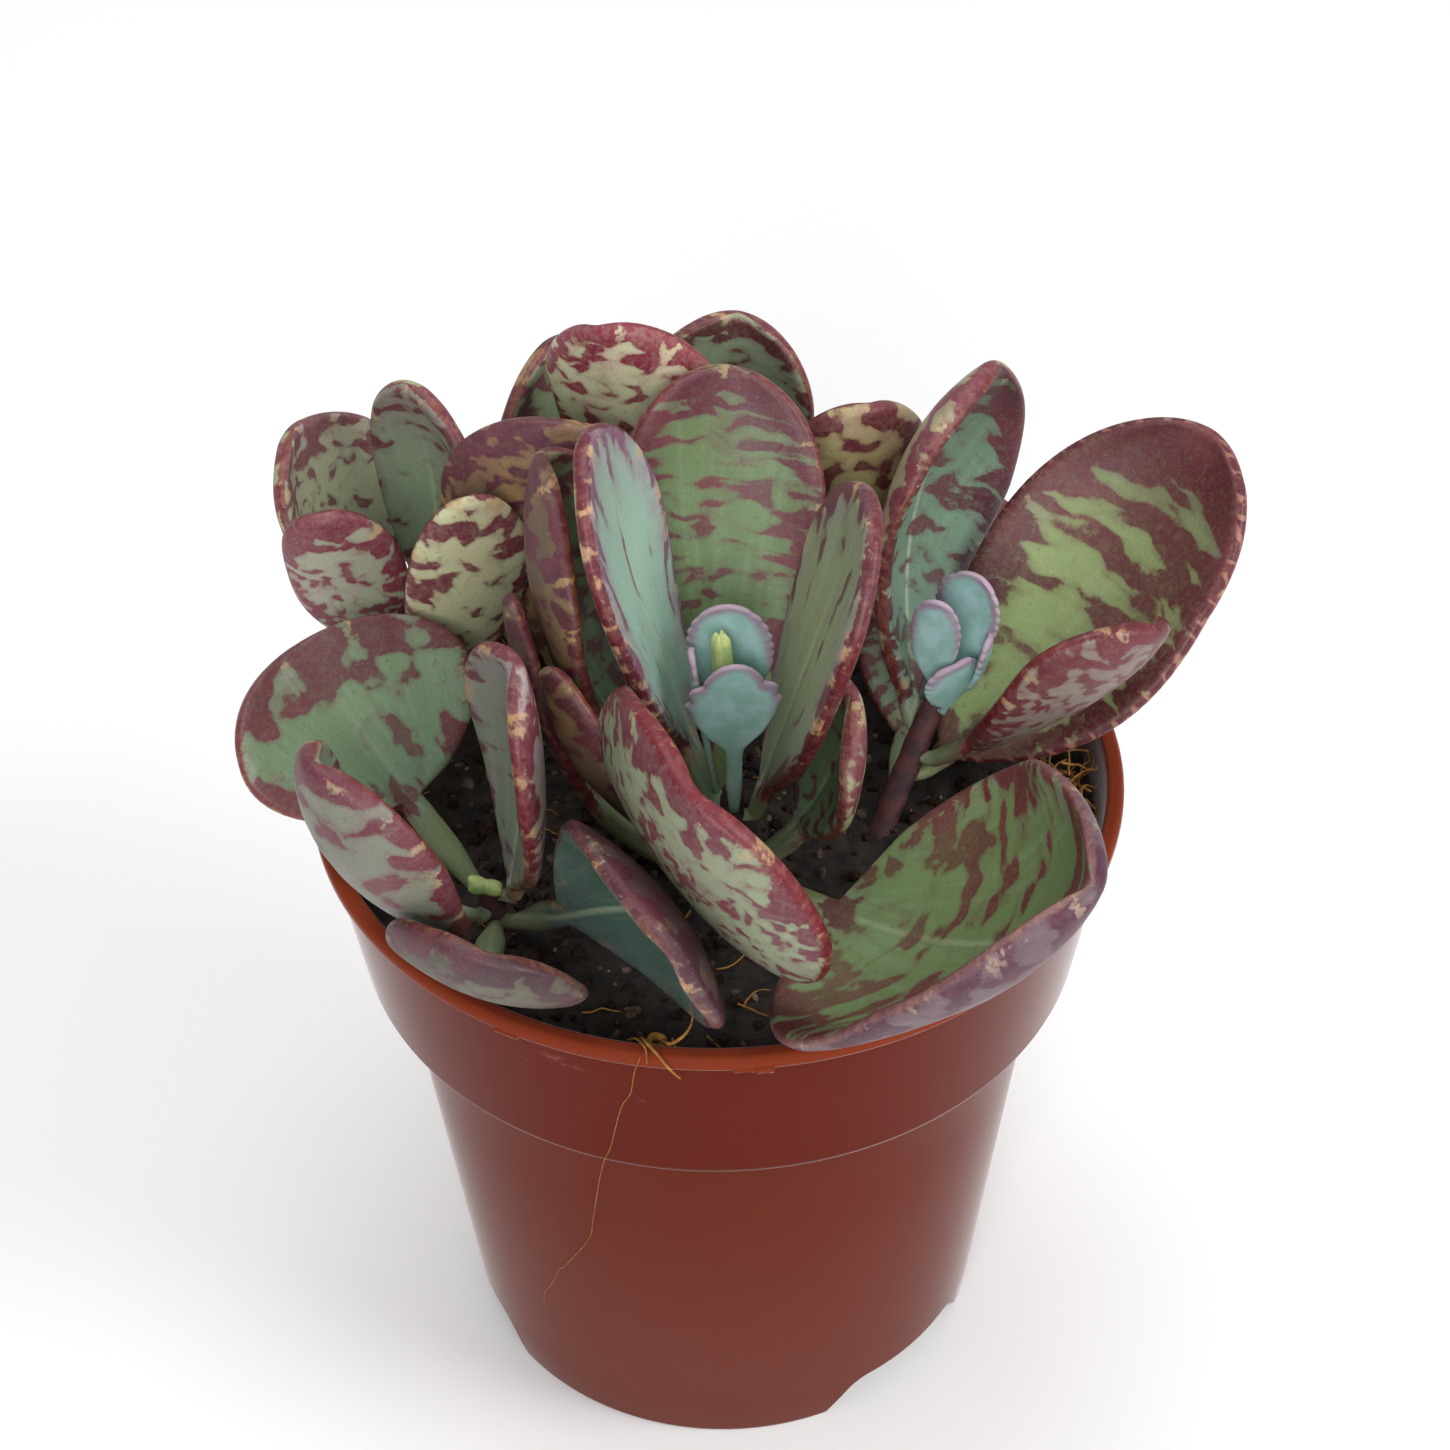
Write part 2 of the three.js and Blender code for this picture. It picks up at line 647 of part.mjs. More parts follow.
// Stem with the young leaves of its crown
function stemGeometry(shoot) {
  const crown = shoots[shoot].high[2];
  const bend = onAxis(shoot, soilLevel - stemBend);
  const under = onAxis(shoot, soilLevel - stemBend - stemLap);
  const collar = onAxis(shoot, crown - stemTipLength);
  const taper = onAxis(shoot, crown - stemTipLength - stemLap);
  const top = onAxis(shoot, crown);
  let stem = solid(bar(stemFoot(shoot, stemRoot), bend, stemRadius, stemRadius, stemSides));
  stem = stem.add(solid(bar(under, collar, stemRadius, stemRadius, stemSides)));
  stem = stem.add(solid(bar(taper, top, stemRadius, stemTipRadius, stemSides)));
  for (const leaf of youngLeaves.filter((one) => one.shoot === shoot)) {
    stem = stem.add(solid(leafGeometry(leaf, youngThickness, true)));
  }
  if (shoot === 'centre') {
    const foot = new THREE.Vector3(...bud.foot);
    const tip = new THREE.Vector3(...bud.top);
    stem = stem.add(solid(bar(foot, tip, bud.footRadius, bud.topRadius, bud.sides)));
  }
  if (shoot === 'left') {
    const from = new THREE.Vector3(...stub.from);
    const to = new THREE.Vector3(...stub.to);
    stem = stem.add(solid(bar(from, to, stub.radius, stub.radius, stub.sides)));
  }
  return geometryOf(stem);
}

function piece(name, geometry, color, roughness) {
  const material = new THREE.MeshStandardMaterial({ color, roughness, metalness: 0 });
  const mesh = new THREE.Mesh(geometry, material);
  mesh.name = name;
  return mesh;
}

const plant = new THREE.Group();
plant.add(piece('pot', potGeometry(), terracotta, 0.45));
plant.add(piece('soil', soilGeometry(), peat, 1));
for (const shoot of Object.keys(shoots)) {
  plant.add(piece(`stem_${shoot}`, stemGeometry(shoot), stemRed, 0.6));
}
for (const leaf of leaves) {
  const color = leaf.roll > 0 ? leafPale : leafGreen;
  plant.add(piece(leaf.name, leafGeometry(leaf, leafThickness, false), color, 0.55));
}

export default plant;
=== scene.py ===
# Looks of the potted penwiper plant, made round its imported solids.
# Metres, +Z up, +X to the right and +Y to the back. Leaves are laid out in millimetres and degrees first.
import math
import random

import bpy
import numpy as np
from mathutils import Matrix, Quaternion, Vector, noise


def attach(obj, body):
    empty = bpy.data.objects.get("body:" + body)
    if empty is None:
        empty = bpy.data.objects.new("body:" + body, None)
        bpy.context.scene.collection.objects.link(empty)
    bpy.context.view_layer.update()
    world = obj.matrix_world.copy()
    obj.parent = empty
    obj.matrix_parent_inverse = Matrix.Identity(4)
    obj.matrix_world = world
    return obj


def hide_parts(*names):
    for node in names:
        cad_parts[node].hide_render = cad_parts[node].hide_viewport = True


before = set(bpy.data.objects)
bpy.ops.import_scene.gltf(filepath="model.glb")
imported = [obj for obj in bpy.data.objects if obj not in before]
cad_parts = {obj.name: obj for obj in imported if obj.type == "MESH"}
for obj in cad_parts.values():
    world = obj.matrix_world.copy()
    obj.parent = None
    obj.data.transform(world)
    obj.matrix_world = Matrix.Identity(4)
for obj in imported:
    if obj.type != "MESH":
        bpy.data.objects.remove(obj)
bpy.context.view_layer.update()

MM = 0.001

# Pot and peat, in millimetres
POT_HEIGHT = 92.4
LIP_RADIUS = 52.5
LIP_HEIGHT = 2.4
LIP_OVERHANG = 1.2
COLLAR_FOOT_RADIUS = 47.8
COLLAR_FOOT_HEIGHT = 67.6
BODY_TOP_RADIUS = 43.5
LEDGE_HEIGHT = 1.4
FOOT_RADIUS = 35.6
POT_WALL = 1.3
FOOT_RIM_WIDTH = 1.6
FLOOR_LIFT = 6.2
FLOOR_THICKNESS = 1.6
CENTRE_DISC_RADIUS = 12
POT_SIDES = 192
NOTCH_MIDDLES = (-45, 75, -165)
NOTCH_SPAN = 46
NOTCH_TOP_SPAN = 31
NOTCH_HEIGHT = 5.6
MOULD_LINE_HEIGHT = 50
MOULD_LINE_DEPTH = 0.07
CORNER_REACH = 0.5
SMOOTH_ANGLE = 35
NOTCH_DEPTH = 13
NOTCH_FLARE = 1.5
NOTCH_ROUNDING = 2.2
DRAIN_HOLES = 6
DRAIN_HOLE_RADIUS = 2.6
DRAIN_RING_RADIUS = 23
SOIL_LEVEL = 86
SOIL_BUMP = 0.8
GAP = 0.3

# Moulding tabs under the lip: from and to in degrees, then radius
TAB_PLACES = ((-88.6, -85.4, 0.35), (-85.6, -83.2, 0.6), (-121.5, -117.8, 0.4))
TAB_INSET = 0.25
TAB_LIFT = 0.35

# Stems and leaves, in millimetres
STEM_RADIUS = 1.7
STEM_TIP_RADIUS = 1.3
STEM_ROOT = 79
ROOT_DRAW = 0.92
NODE_OFFSET = 3.1
LEAF_THICKNESS = 2.4
YOUNG_THICKNESS = 0.95
PETIOLE_HALF_WIDTH = 1.9
PETIOLE_THICKNESS = 2.1
PETIOLE_FOOT = 0.6
PETIOLE_SPREAD = 12
LEAF_SIDES = 48
ROOT_RINGS = 3
STALK_RINGS = 8
BLADE_RINGS = 40
EXTRA_LOBE_RINGS = 24
STALK_CUP = 10
STALK_CUP_GAIN = 5
GROOVE_DEPTH = 0.4
YOUNG_GROOVE_DEPTH = 0.15
GROOVE_HALF_WIDTH = 0.9
WAVE_SIZES = (0.25, 0.5)
SEAT_START = 3.0
SEAT_STEP = 0.05
THINNEST = 0.02

# Shoots: two points on each stem's axis, the upper one at its crown
SHOOTS = {
    "centre": ((0.5, -17, 86), (2, -11, 99)),
    "right": ((21, -6, 86), (29.125, 5.25, 101)),
    "left": ((-27.5, -24, 86), (-29, -22, 93)),
    "back_left": ((-39.2, 23.2, 86), (-38.6, 21.6, 94)),
    "inner_left": ((-24, 25, 86), (-23, 25, 93)),
    "back": ((-6, 35, 86), (-5, 34, 97)),
    "back_right": ((17, 30, 86), (17, 30, 95)),
}

# Leaves by name: shoot, height of the stalk's foot, heading (90 is to the back), rise of the stalk,
# roll, stalk, length, width, bend along the blade, cup across it, neck of the stalk, sweep to the left
LEAVES = {
    "centre_leaf_back": ("centre", 93.5, 94, 49, -4, 10, 47, 28, 21, 31, 0, -7),
    "centre_leaf_left": ("centre", 96.5, 150, 69, -17, 9, 44, 26, 9, 16, 0, 0),
    "centre_leaf_right": ("centre", 95, 10, 69, 4, 5, 44, 28, 2, 9, 3, 4),
    "centre_leaf_front": ("centre", 89.5, -103, 29, 42, 19, 39, 44, 35, 41, 21, -4),
    "centre_leaf_low_left": ("centre", 90.8, -160, 47, -24, 4, 34, 13, 48, 34, 2, -8),
    "centre_leaf_far_left": ("centre", 91.5, 148, 26, -28, 14.5, 43, 33, 49, 56, 27, 4),
    "centre_leaf_low_right": ("centre", 89.4, 5, 22, -10, 8.5, 24, 24, 43, 44, 38, -3),
    "centre_leaf_low_outer": ("centre", 88.4, 164, 5, -26, 18, 30, 13, 26, 30, 58, -3),
    "centre_leaf_over_rim": ("centre", 89, -46, 16, -16, 16.6, 51, 50, 60, 54, 0, 16),
    "right_leaf_back": ("right", 95, 99, 47.5, -55, 4.3, 47.4, 33, 70, 49, 0, 4),
    "right_leaf_large": ("right", 90.6, 33, 24.5, -11, 5, 54.7, 35.6, 40, 42, 0, 7),
    "right_leaf_on_edge": ("right", 94, -23, 38, 32, 7, 32, 25, 31, 43, 0, 0),
    "left_leaf_broad": ("left", 91.6, 134.6, 30.4, -1.6, 12.8, 24.7, 37.2, 9.7, 24.5, 0, 2),
    "left_leaf_upright": ("left", 91.5, -6, 80, -24, 2.5, 38, 26, 22, 42, 0, -2),
    "left_leaf_outer": ("left", 90, -133, 41, 9, 4, 43, 30, 60, 69, 0, -11),
    "left_leaf_at_rim": ("left", 88.5, -92, 25, 19, 12, 24, 26, 65, 35, 0, -4),
    "left_leaf_front": ("left", 88.8, -33, 36, -93, 10, 36, 31, 68, 28, 0, 0),
    "back_left_leaf_outer": ("back_left", 91.9, 142, 52, -16, 7.3, 28, 30, 24, 35, 0, 0),
    "back_left_leaf_back": ("back_left", 92, 69.5, 69, 25, 4.4, 35, 21.5, 36, 20, 0, 6.5),
    "back_left_leaf_front": ("back_left", 90.5, -132, 67, -44, 8.1, 28.6, 16, 15, 37, 0, 2),
    "back_left_leaf_inner": ("back_left", 90, -52, 62, 20, 3, 36, 17, 38, 28, 0, -8),
    "back_leaf_front": ("back", 95.5, -112, 80, 1, 9, 39, 28, 5, 38, 0, -19),
    "inner_left_leaf_back": ("inner_left", 91, 84, 60, -45, 5.9, 36, 28, 15, 44, 0, 0),
    "back_leaf_right": ("back", 92.9, 53, 73, -37, 5.6, 36, 27, 14, 47, 0, 0),
    "inner_left_leaf_front": ("inner_left", 91, -78, 77, 17, 6, 37, 31, 33, 37, 0, 0),
    "back_right_leaf_front": ("back_right", 92, -69, 83.5, 3.5, 6.6, 31.8, 23, 16, 49, 0, 6.5),
    "hidden_leaf_back": ("back", 91.3, 112, 13, 0, 9, 29, 26, 4, 24, 0, 0),
    "hidden_leaf_back_right": ("back_right", 91.8, 99, 11.5, 0, 9, 25, 23, 2, 26, 0, 0),
    "hidden_leaf_right": ("back_right", 91.8, 38, 11.5, 0, 8, 19.5, 18, 2, 24, 0, 0),
    "hidden_leaf_left": ("inner_left", 88.6, 124, 28, 0, 10, 24, 20, 4, 20, 0, 0),
    "hidden_leaf_under": ("right", 88.6, 76, 12, 0, 9, 24, 19, 4, 20, 0, 0),
}
LEAF_VALUES = ("shoot", "height", "heading", "rise", "roll", "stalk", "length", "width",
               "bend", "cup", "neck", "sweep")

# Where a blade is widest: a small foot value makes it broad near the stalk
BLADE_FOOT = 0.75
BLADE_TIP = 0.5
BROAD_FOOT = {"centre_leaf_front": 0.5, "centre_leaf_over_rim": 0.4, "right_leaf_large": 0.65,
              "left_leaf_broad": 0.55}

# Blades whose curl starts a little way out from the stalk, by that share of their length
LATE_CURL = {"centre_leaf_over_rim": 0.045}
CURL_POWER = 1.6
LATE_POWER = 0.375

# Young leaves: shoot, height, heading, rise, roll, stalk, length, width, bend, cup, sweep, tip, lobes
YOUNG_LEAVES = [
    ("centre", 97, -83, 86, 0, 11, 14, 12.2, 4, 12, 0, 0.5, -1),
    ("centre", 98, 84, 85, 0, 12, 15.2, 11, 6, 12, 9, 0.5, 7),
    ("centre", 98, -178, 82, 0, 14, 9.5, 5, 6, 16, 0, 0.5, 4),
    ("right", 100, 34, 78, -20, 3.5, 14.6, 9.8, 10, 20, -6, 0.5, 7),
    ("right", 100, -112, 86, 0, 3.5, 14.2, 6.8, 4, 10, 4, 0.5, 6),
    ("right", 99, -58, 70, 0, 1.5, 9, 8.2, 14, 20, -6, 0.45, 5),
    ("right", 99, -4, 58, 0, 3, 10, 7, 34, 40, 0, 0.4, 5),
]
YOUNG_VALUES = ("shoot", "height", "heading", "rise", "roll", "stalk", "length", "width",
                "bend", "cup", "sweep", "tip", "lobes")
YOUNG_FOOT = 0.8
YOUNG_OFFSET = 2.0
LOBES_START = 0.42
LOBE_DEPTH = 0.07
LOBE_POWER = 0.9

# Half width of the fan-shaped young leaf along its length: straight sides, a tooth, a lobe and a dome
FAN_PLACES = (0, 0.06, 0.17, 0.36, 0.48, 0.55, 0.575, 0.595, 0.63, 0.68, 0.72, 0.75, 0.765,
              0.80, 0.86, 0.92, 0.965, 0.99, 1)
FAN_WIDTHS = (0.12, 0.28, 0.56, 0.82, 0.92, 1.0, 0.93, 0.87, 0.9, 0.91, 0.84, 0.66, 0.61,
              0.60, 0.52, 0.40, 0.26, 0.12, 0)

# Closed pairs on the hidden crowns: their headings, then one leaf's values from rise to lobes
YOUNG_PAIRS = {"back_left": (-5, 185), "inner_left": (0, 180), "back": (-25, 155), "back_right": (25, 170)}
CLOSED_LEAF = (80, 0, 1.5, 5.5, 4.5, 14, 40, 0, 0.5, 0)

# Bud and stub: ends and radii
BUD_TOP = (0.6, -11, 123.9)
BUD_FOOT = (1.8, -11.4, 97.5)
BUD_RADIUS = 1.35
BUD_STALK_RADIUS = 0.8
STUB_ENDS = ((-31.2, -23.2, 94.0), (-26.9, -23.6, 93.2))
STUB_RADII = (1.25, 0.95)


def piece_from(name):
    """Names the active object and its mesh."""
    piece = bpy.context.object
    piece.name = name
    piece.data.name = name
    return piece


def face_outward():
    """Turns all faces of the active piece outwards."""
    bpy.ops.object.mode_set(mode="EDIT")
    bpy.ops.mesh.select_all(action="SELECT")
    bpy.ops.mesh.normals_make_consistent(inside=False)
    bpy.ops.object.mode_set(mode="OBJECT")


def skin(name, grid):
    """Closed skin: a round primitive whose rings are laid on the rows of a grid in millimetres."""
    rings, sides = grid.shape[0] - 1, grid.shape[1]
    bpy.ops.object.select_all(action="DESELECT")
    bpy.ops.mesh.primitive_uv_sphere_add(segments=sides, ring_count=rings, radius=1)
    piece = piece_from(name)
    ball = np.empty(len(piece.data.vertices) * 3)
    piece.data.vertices.foreach_get("co", ball)
    ball = ball.reshape(-1, 3)
    ring = np.rint(np.arccos(np.clip(ball[:, 2], -1, 1)) / math.pi * rings).astype(int)
    side = np.rint(np.arctan2(ball[:, 1], ball[:, 0]) / (2 * math.pi) * sides).astype(int) % sides
    piece.data.vertices.foreach_set("co", (grid[ring, side] * MM).ravel())
    piece.data.update()
    face_outward()
    bpy.ops.object.shade_smooth()
    return piece, ring, side


def carry(piece, name, values):
    """Stores a vector for each vertex, which the materials read by name."""
    kept = piece.data.attributes.new(name=name, type="FLOAT_VECTOR", domain="POINT")
    kept.data.foreach_set("vector", np.asarray(values, dtype=np.float32).ravel())


def finish_piece(piece, slot, material, *nodes):
    """Gives a piece its body and material, and hides the solids that it stands for. The slot is not used."""
    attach(piece, "root")
    if nodes:
        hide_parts(*nodes)
    piece.data.materials.clear()
    piece.data.materials.append(material)


def join(name, pieces):
    """Makes several pieces one."""
    bpy.ops.object.select_all(action="DESELECT")
    for piece in pieces:
        piece.select_set(True)
    bpy.context.view_layer.objects.active = pieces[0]
    if len(pieces) > 1:
        bpy.ops.object.join()
    return piece_from(name)


# Leaf layout

def on_axis(shoot, height):
    """Point on a stem's axis at a height."""
    low, high = (Vector(point) for point in SHOOTS[shoot])
    return low.lerp(high, (height - low.z) / (high.z - low.z))


def outline(along, foot, tip):
    """Half width of a blade along its length, 1 at the widest place."""
    peak = foot / (foot + tip)
    return along ** foot * (1 - along) ** tip / (peak ** foot * (1 - peak) ** tip)


def blade_share(along, foot, tip, lobes):
    """The outline with scalloped lobes over its outer part, or that of the fan-shaped leaf."""
    if lobes < 0:
        return float(np.interp(along, FAN_PLACES, FAN_WIDTHS))
    share = outline(along, foot, tip)
    if lobes:
        outer = max(0, (along - LOBES_START) / (1 - LOBES_START))
        notch = 1 - abs(math.sin(math.pi * lobes * outer ** LOBE_POWER))
        share *= 1 - LOBE_DEPTH * notch * min(1, outer * 6)
    return share


def curl_share(along, late):
    """Share of the blade's curl reached at a place; a late one starts a little way out."""
    return max(0.0, along - late * (1 - along) ** LATE_POWER) ** CURL_POWER


def start_frame(heading, rise):
    """Frame of a leaf: a along it, b to its right margin, n out of its upper face."""
    turn, lift = math.radians(heading), math.radians(rise)
    flat = Vector((math.cos(turn), math.sin(turn), 0))
    a = flat * math.cos(lift) + Vector((0, 0, math.sin(lift)))
    n = flat * -math.sin(lift) + Vector((0, 0, math.cos(lift)))
    return a, a.cross(n), n


def rolled(b, n, angle):
    """The two cross directions of a leaf turned about its length."""
    return b * math.cos(angle) + n * math.sin(angle), n * math.cos(angle) - b * math.sin(angle)


def section(place, b, n, half_width, cup, thickness, groove=0.0, wave=0.0, fine=1.0):
    """Ring of points round a leaf, with round margins and a shallow groove along the upper face."""
    theta = np.arange(LEAF_SIDES) * 2 * math.pi / LEAF_SIDES
    across = np.cos(theta)
    fullness = max(2.0, 1.6 * half_width / (thickness / 2))
    body = np.sqrt(np.clip(1 - np.abs(across) ** fullness, 0, 1))
    upper = np.sin(theta) > 0
    lift = thickness / 2 * fine * body * np.where(upper, 1, -1)
    lift -= np.where(upper, groove * np.exp(-(across * half_width / GROOVE_HALF_WIDTH) ** 2), 0)
    lift += wave * np.abs(across) ** 3 * np.where(across > 0, 1, -0.7)
    angle = cup * across
    sideways = half_width * np.sin(angle) / cup - lift * np.sin(angle)
    upward = half_width * (1 - np.cos(angle)) / cup + lift * np.cos(angle)
    ring = np.array(place) + np.outer(sideways, np.array(b)) + np.outer(upward, np.array(n))
    return ring, across * half_width, np.where(upper, body, -body)


def seat(shoot, node, along, b, n, half_width, depth):
    """How far back along its own line a stalk starts, clear of the stem."""
    low = on_axis(shoot, SOIL_LEVEL)
    axis = (on_axis(shoot, SOIL_LEVEL + 1) - low).normalized()
    corners = [(half_width, 0), (-half_width, 0), (half_width / 3, depth / 2), (-half_width / 3, depth / 2),
               (half_width / 3, -depth / 2), (-half_width / 3, -depth / 2)]
    set_back = SEAT_START
    while True:
        place = node - along * set_back
        offsets = [place + b * across + n * lift - low for across, lift in corners]
        if all((offset - axis * offset.dot(axis)).length > STEM_RADIUS + GAP for offset in offsets):
            return set_back
        set_back -= SEAT_STEP


def leaf_rows(leaf, thickness, young, seed):
    """Rings of a leaf from inside the stem to its tip, with the places of their points on the blade."""
    draw = random.Random(seed)
    wave_size, wave_turn = draw.uniform(*WAVE_SIZES), draw.uniform(0, 6)
    shoot, foot, tip, lobes = leaf["shoot"], leaf["foot"], leaf["tip"], leaf["lobes"]
    a, b, n = start_frame(leaf["heading"], leaf["rise"])
    outward = start_frame(leaf["heading"], 0)[0]
    node = on_axis(shoot, leaf["height"]) + outward * (YOUNG_OFFSET if young else NODE_OFFSET)
    half_petiole = max(0.6, leaf["width"] / 12) if young else min(PETIOLE_HALF_WIDTH, leaf["width"] / 6)
    depth = min(PETIOLE_THICKNESS, thickness * 0.9)
    set_back = 0 if young else seat(shoot, node, a, b, n, half_petiole * PETIOLE_FOOT, depth)
    place = node - a * set_back
    root = on_axis(shoot, place.z if not young else leaf["height"])
    rows = []

    def add(place, b, n, half_width, cup, depth, along, **more):
        ring, across, face = section(place, b, n, half_width, cup, depth, **more)
        rows.append((ring, across, np.full(LEAF_SIDES, along), face))

    # The stalk starts inside the stem
    inside = root.lerp(place, 0.35)
    first = inside.lerp(place, 0.5)
    cup = math.radians(STALK_CUP)
    add(inside, b, n, 0.05, cup, 0.05, -leaf["stalk"] - 2)
    add(inside, b, n, half_petiole * 0.5, cup, depth * 0.7, -leaf["stalk"] - 2)
    add(first, b, n, half_petiole * PETIOLE_FOOT, cup, depth, -leaf["stalk"] - 1)
    for i in range(STALK_RINGS):
        part = i / STALK_RINGS
        twist_b, twist_n = rolled(b, n, math.radians(leaf["roll"]) * part)
        spread = min(1, PETIOLE_FOOT + leaf["stalk"] * part / PETIOLE_SPREAD)
        add(place, twist_b, twist_n, half_petiole * spread, math.radians(STALK_CUP + STALK_CUP_GAIN * part),
            depth + (thickness - depth) * part, (part - 1) * leaf["stalk"])
        place = place + a * (leaf["stalk"] + set_back) / STALK_RINGS
        bend = Quaternion(b, math.radians(leaf["neck"] / STALK_RINGS))
        a, n = bend @ a, bend @ n

    # Blade, its rings crowded towards the tip
    b, n = rolled(b, n, math.radians(leaf["roll"]))
    rings = BLADE_RINGS + (EXTRA_LOBE_RINGS if lobes else 0)
    late = leaf["late"]
    previous = 0
    for i in range(rings + 1):
        along = 1 - (1 - i / rings) ** 2
        step = along - previous
        place = place + a * leaf["length"] * step
        turned = curl_share(along, late) - curl_share(previous, late)
        curl = Quaternion(b, math.radians(leaf["bend"]) * turned)
        a, n = curl @ a, curl @ n
        a = Quaternion(n, math.radians(leaf["sweep"]) * step) @ a
        b = (b - a * a.dot(b)).normalized()
        n = b.cross(a).normalized()
        previous = along
        blade = leaf["width"] / 2 * blade_share(along, foot, tip, lobes)
        half_width = math.hypot(blade, half_petiole * (1 - along) ** 2)
        roll_up = max(math.radians(leaf["cup"]) * min(1, 0.25 + 1.2 * along), THINNEST)
        from_tip = leaf["length"] * (1 - along)
        round_off = min(1, from_tip / (thickness / 2))
        fine = math.sqrt(1 - (1 - round_off) ** 2)
        wave = 0 if young else wave_size * math.sin(along * 9 + wave_turn)
        groove = (YOUNG_GROOVE_DEPTH if young else GROOVE_DEPTH) * (1 - along) ** 0.7
        add(place, b, n, max(half_width, THINNEST), roll_up, thickness, along * leaf["length"],
            groove=groove, wave=wave * min(1, from_tip / 4), fine=max(fine, THINNEST))
    return rows


def leaf_piece(name, leaf, thickness, young, seed):
    """A leaf's mesh, carrying each point's place on the blade and its distance from the margin."""
    rows = leaf_rows(leaf, thickness, young, seed)
    grid = np.array([row[0] for row in rows])
    grid[0] = grid[0].mean(axis=0)
    grid[-1] = grid[-1].mean(axis=0)
    piece, ring, side = skin(name, grid)
    across = np.array([row[1] for row in rows])[ring, side]
    along = np.array([row[2] for row in rows])[ring, side]
    face = np.array([row[3] for row in rows])[ring, side]
    margin = np.array([(sign * row[1][0], row[2][0]) for sign, order in ((1, 1), (-1, -1))
                       for row in rows[ROOT_RINGS:][::order]])
    steps = np.hypot(*np.diff(margin, axis=0).T)
    walked = np.concatenate([[0], np.cumsum(steps)])
    apart = np.hypot(across[:, None] - margin[:, 0], along[:, None] - margin[:, 1])
    nearest = apart.argmin(axis=1)
    stalk = np.clip(-along / 4, 0, 3)
    carry(piece, "leaf_place", np.stack([across, along, face], axis=1))
    carry(piece, "leaf_rim", np.stack([apart.min(axis=1), walked[nearest], stalk], axis=1))
    return piece


# Shader helpers

def new_material(name):
    material = bpy.data.materials.new(name)
    material.use_nodes = True
    material.node_tree.nodes.clear()
    return material


class Tree:
    """A node tree with short calls for the nodes that this plant's finishes use."""

    def __init__(self, tree):
        self.tree = tree

    def node(self, kind, **settings):
        node = self.tree.nodes.new(kind)
        for key, value in settings.items():
            setattr(node, key, value)
        return node

    def feed(self, socket, value):
        if isinstance(value, bpy.types.NodeSocket):
            self.tree.links.new(value, socket)
        elif value is not None:
            socket.default_value = value

    def attribute(self, name):
        return self.node("ShaderNodeAttribute", attribute_name=name).outputs["Vector"]

    def parts(self, vector):
        split = self.node("ShaderNodeSeparateXYZ")
        self.feed(split.inputs[0], vector)
        return split.outputs

    def vector(self, x, y, z):
        made = self.node("ShaderNodeCombineXYZ")
        for socket, value in zip(made.inputs, (x, y, z)):
            self.feed(socket, value)
        return made.outputs[0]

    def math(self, operation, *values, clamp=False):
        made = self.node("ShaderNodeMath", operation=operation, use_clamp=clamp)
        for socket, value in zip(made.inputs, values):
            self.feed(socket, value)
        return made.outputs[0]

    def noise(self, vector, scale, detail=2.0, roughness=0.5, seed=None):
        made = self.node("ShaderNodeTexNoise", noise_dimensions="3D" if seed is None else "4D")
        self.feed(made.inputs["Vector"], vector)
        self.feed(made.inputs["Scale"], scale)
        made.inputs["Detail"].default_value = detail
        made.inputs["Roughness"].default_value = roughness
        if seed is not None:
            self.feed(made.inputs["W"], seed)
        return made.outputs["Fac"]

    def swirl(self, vector, scale, reach, detail, seed):
        """The vector moved about by up to about a quarter of reach."""
        made = self.node("ShaderNodeTexNoise", noise_dimensions="4D")
        self.feed(made.inputs["Vector"], vector)
        made.inputs["Scale"].default_value = scale
        made.inputs["Detail"].default_value = detail
        self.feed(made.inputs["W"], seed)
        centred = self.node("ShaderNodeVectorMath", operation="SUBTRACT")
        self.feed(centred.inputs[0], made.outputs["Color"])
        centred.inputs[1].default_value = (0.5, 0.5, 0.5)
        moved = self.node("ShaderNodeVectorMath", operation="MULTIPLY_ADD")
        self.feed(moved.inputs[0], centred.outputs[0])
        moved.inputs[1].default_value = (reach, reach, reach)
        self.feed(moved.inputs[2], vector)
        return moved.outputs[0]

    def ramp(self, value, low, high, start=0.0, end=1.0):
        made = self.node("ShaderNodeMapRange", interpolation_type="SMOOTHSTEP")
        self.feed(made.inputs["Value"], value)
        for socket, amount in zip(("From Min", "From Max", "To Min", "To Max"), (low, high, start, end)):
            self.feed(made.inputs[socket], amount)
        return made.outputs["Result"]

    def mix(self, share, first, second):
        made = self.node("ShaderNodeMix", data_type="RGBA")
        for socket, value in zip((made.inputs[0], made.inputs[6], made.inputs[7]), (share, first, second)):
            self.feed(socket, value)
        return made.outputs[2]

    def bump(self, height, strength, distance):
        made = self.node("ShaderNodeBump")
        made.inputs["Strength"].default_value = strength
        made.inputs["Distance"].default_value = distance
        self.feed(made.inputs["Height"], height)
        return made.outputs["Normal"]

    def finish(self, color, roughness, normal, **fixed):
        shader = self.node("ShaderNodeBsdfPrincipled")
        self.feed(shader.inputs["Base Color"], color)
        self.feed(shader.inputs["Roughness"], roughness)
        self.feed(shader.inputs["Normal"], normal)
        for key, value in fixed.items():
            shader.inputs[key.replace("_", " ")].default_value = value
        output = self.node("ShaderNodeOutputMaterial")
        self.tree.links.new(shader.outputs[0], output.inputs["Surface"])


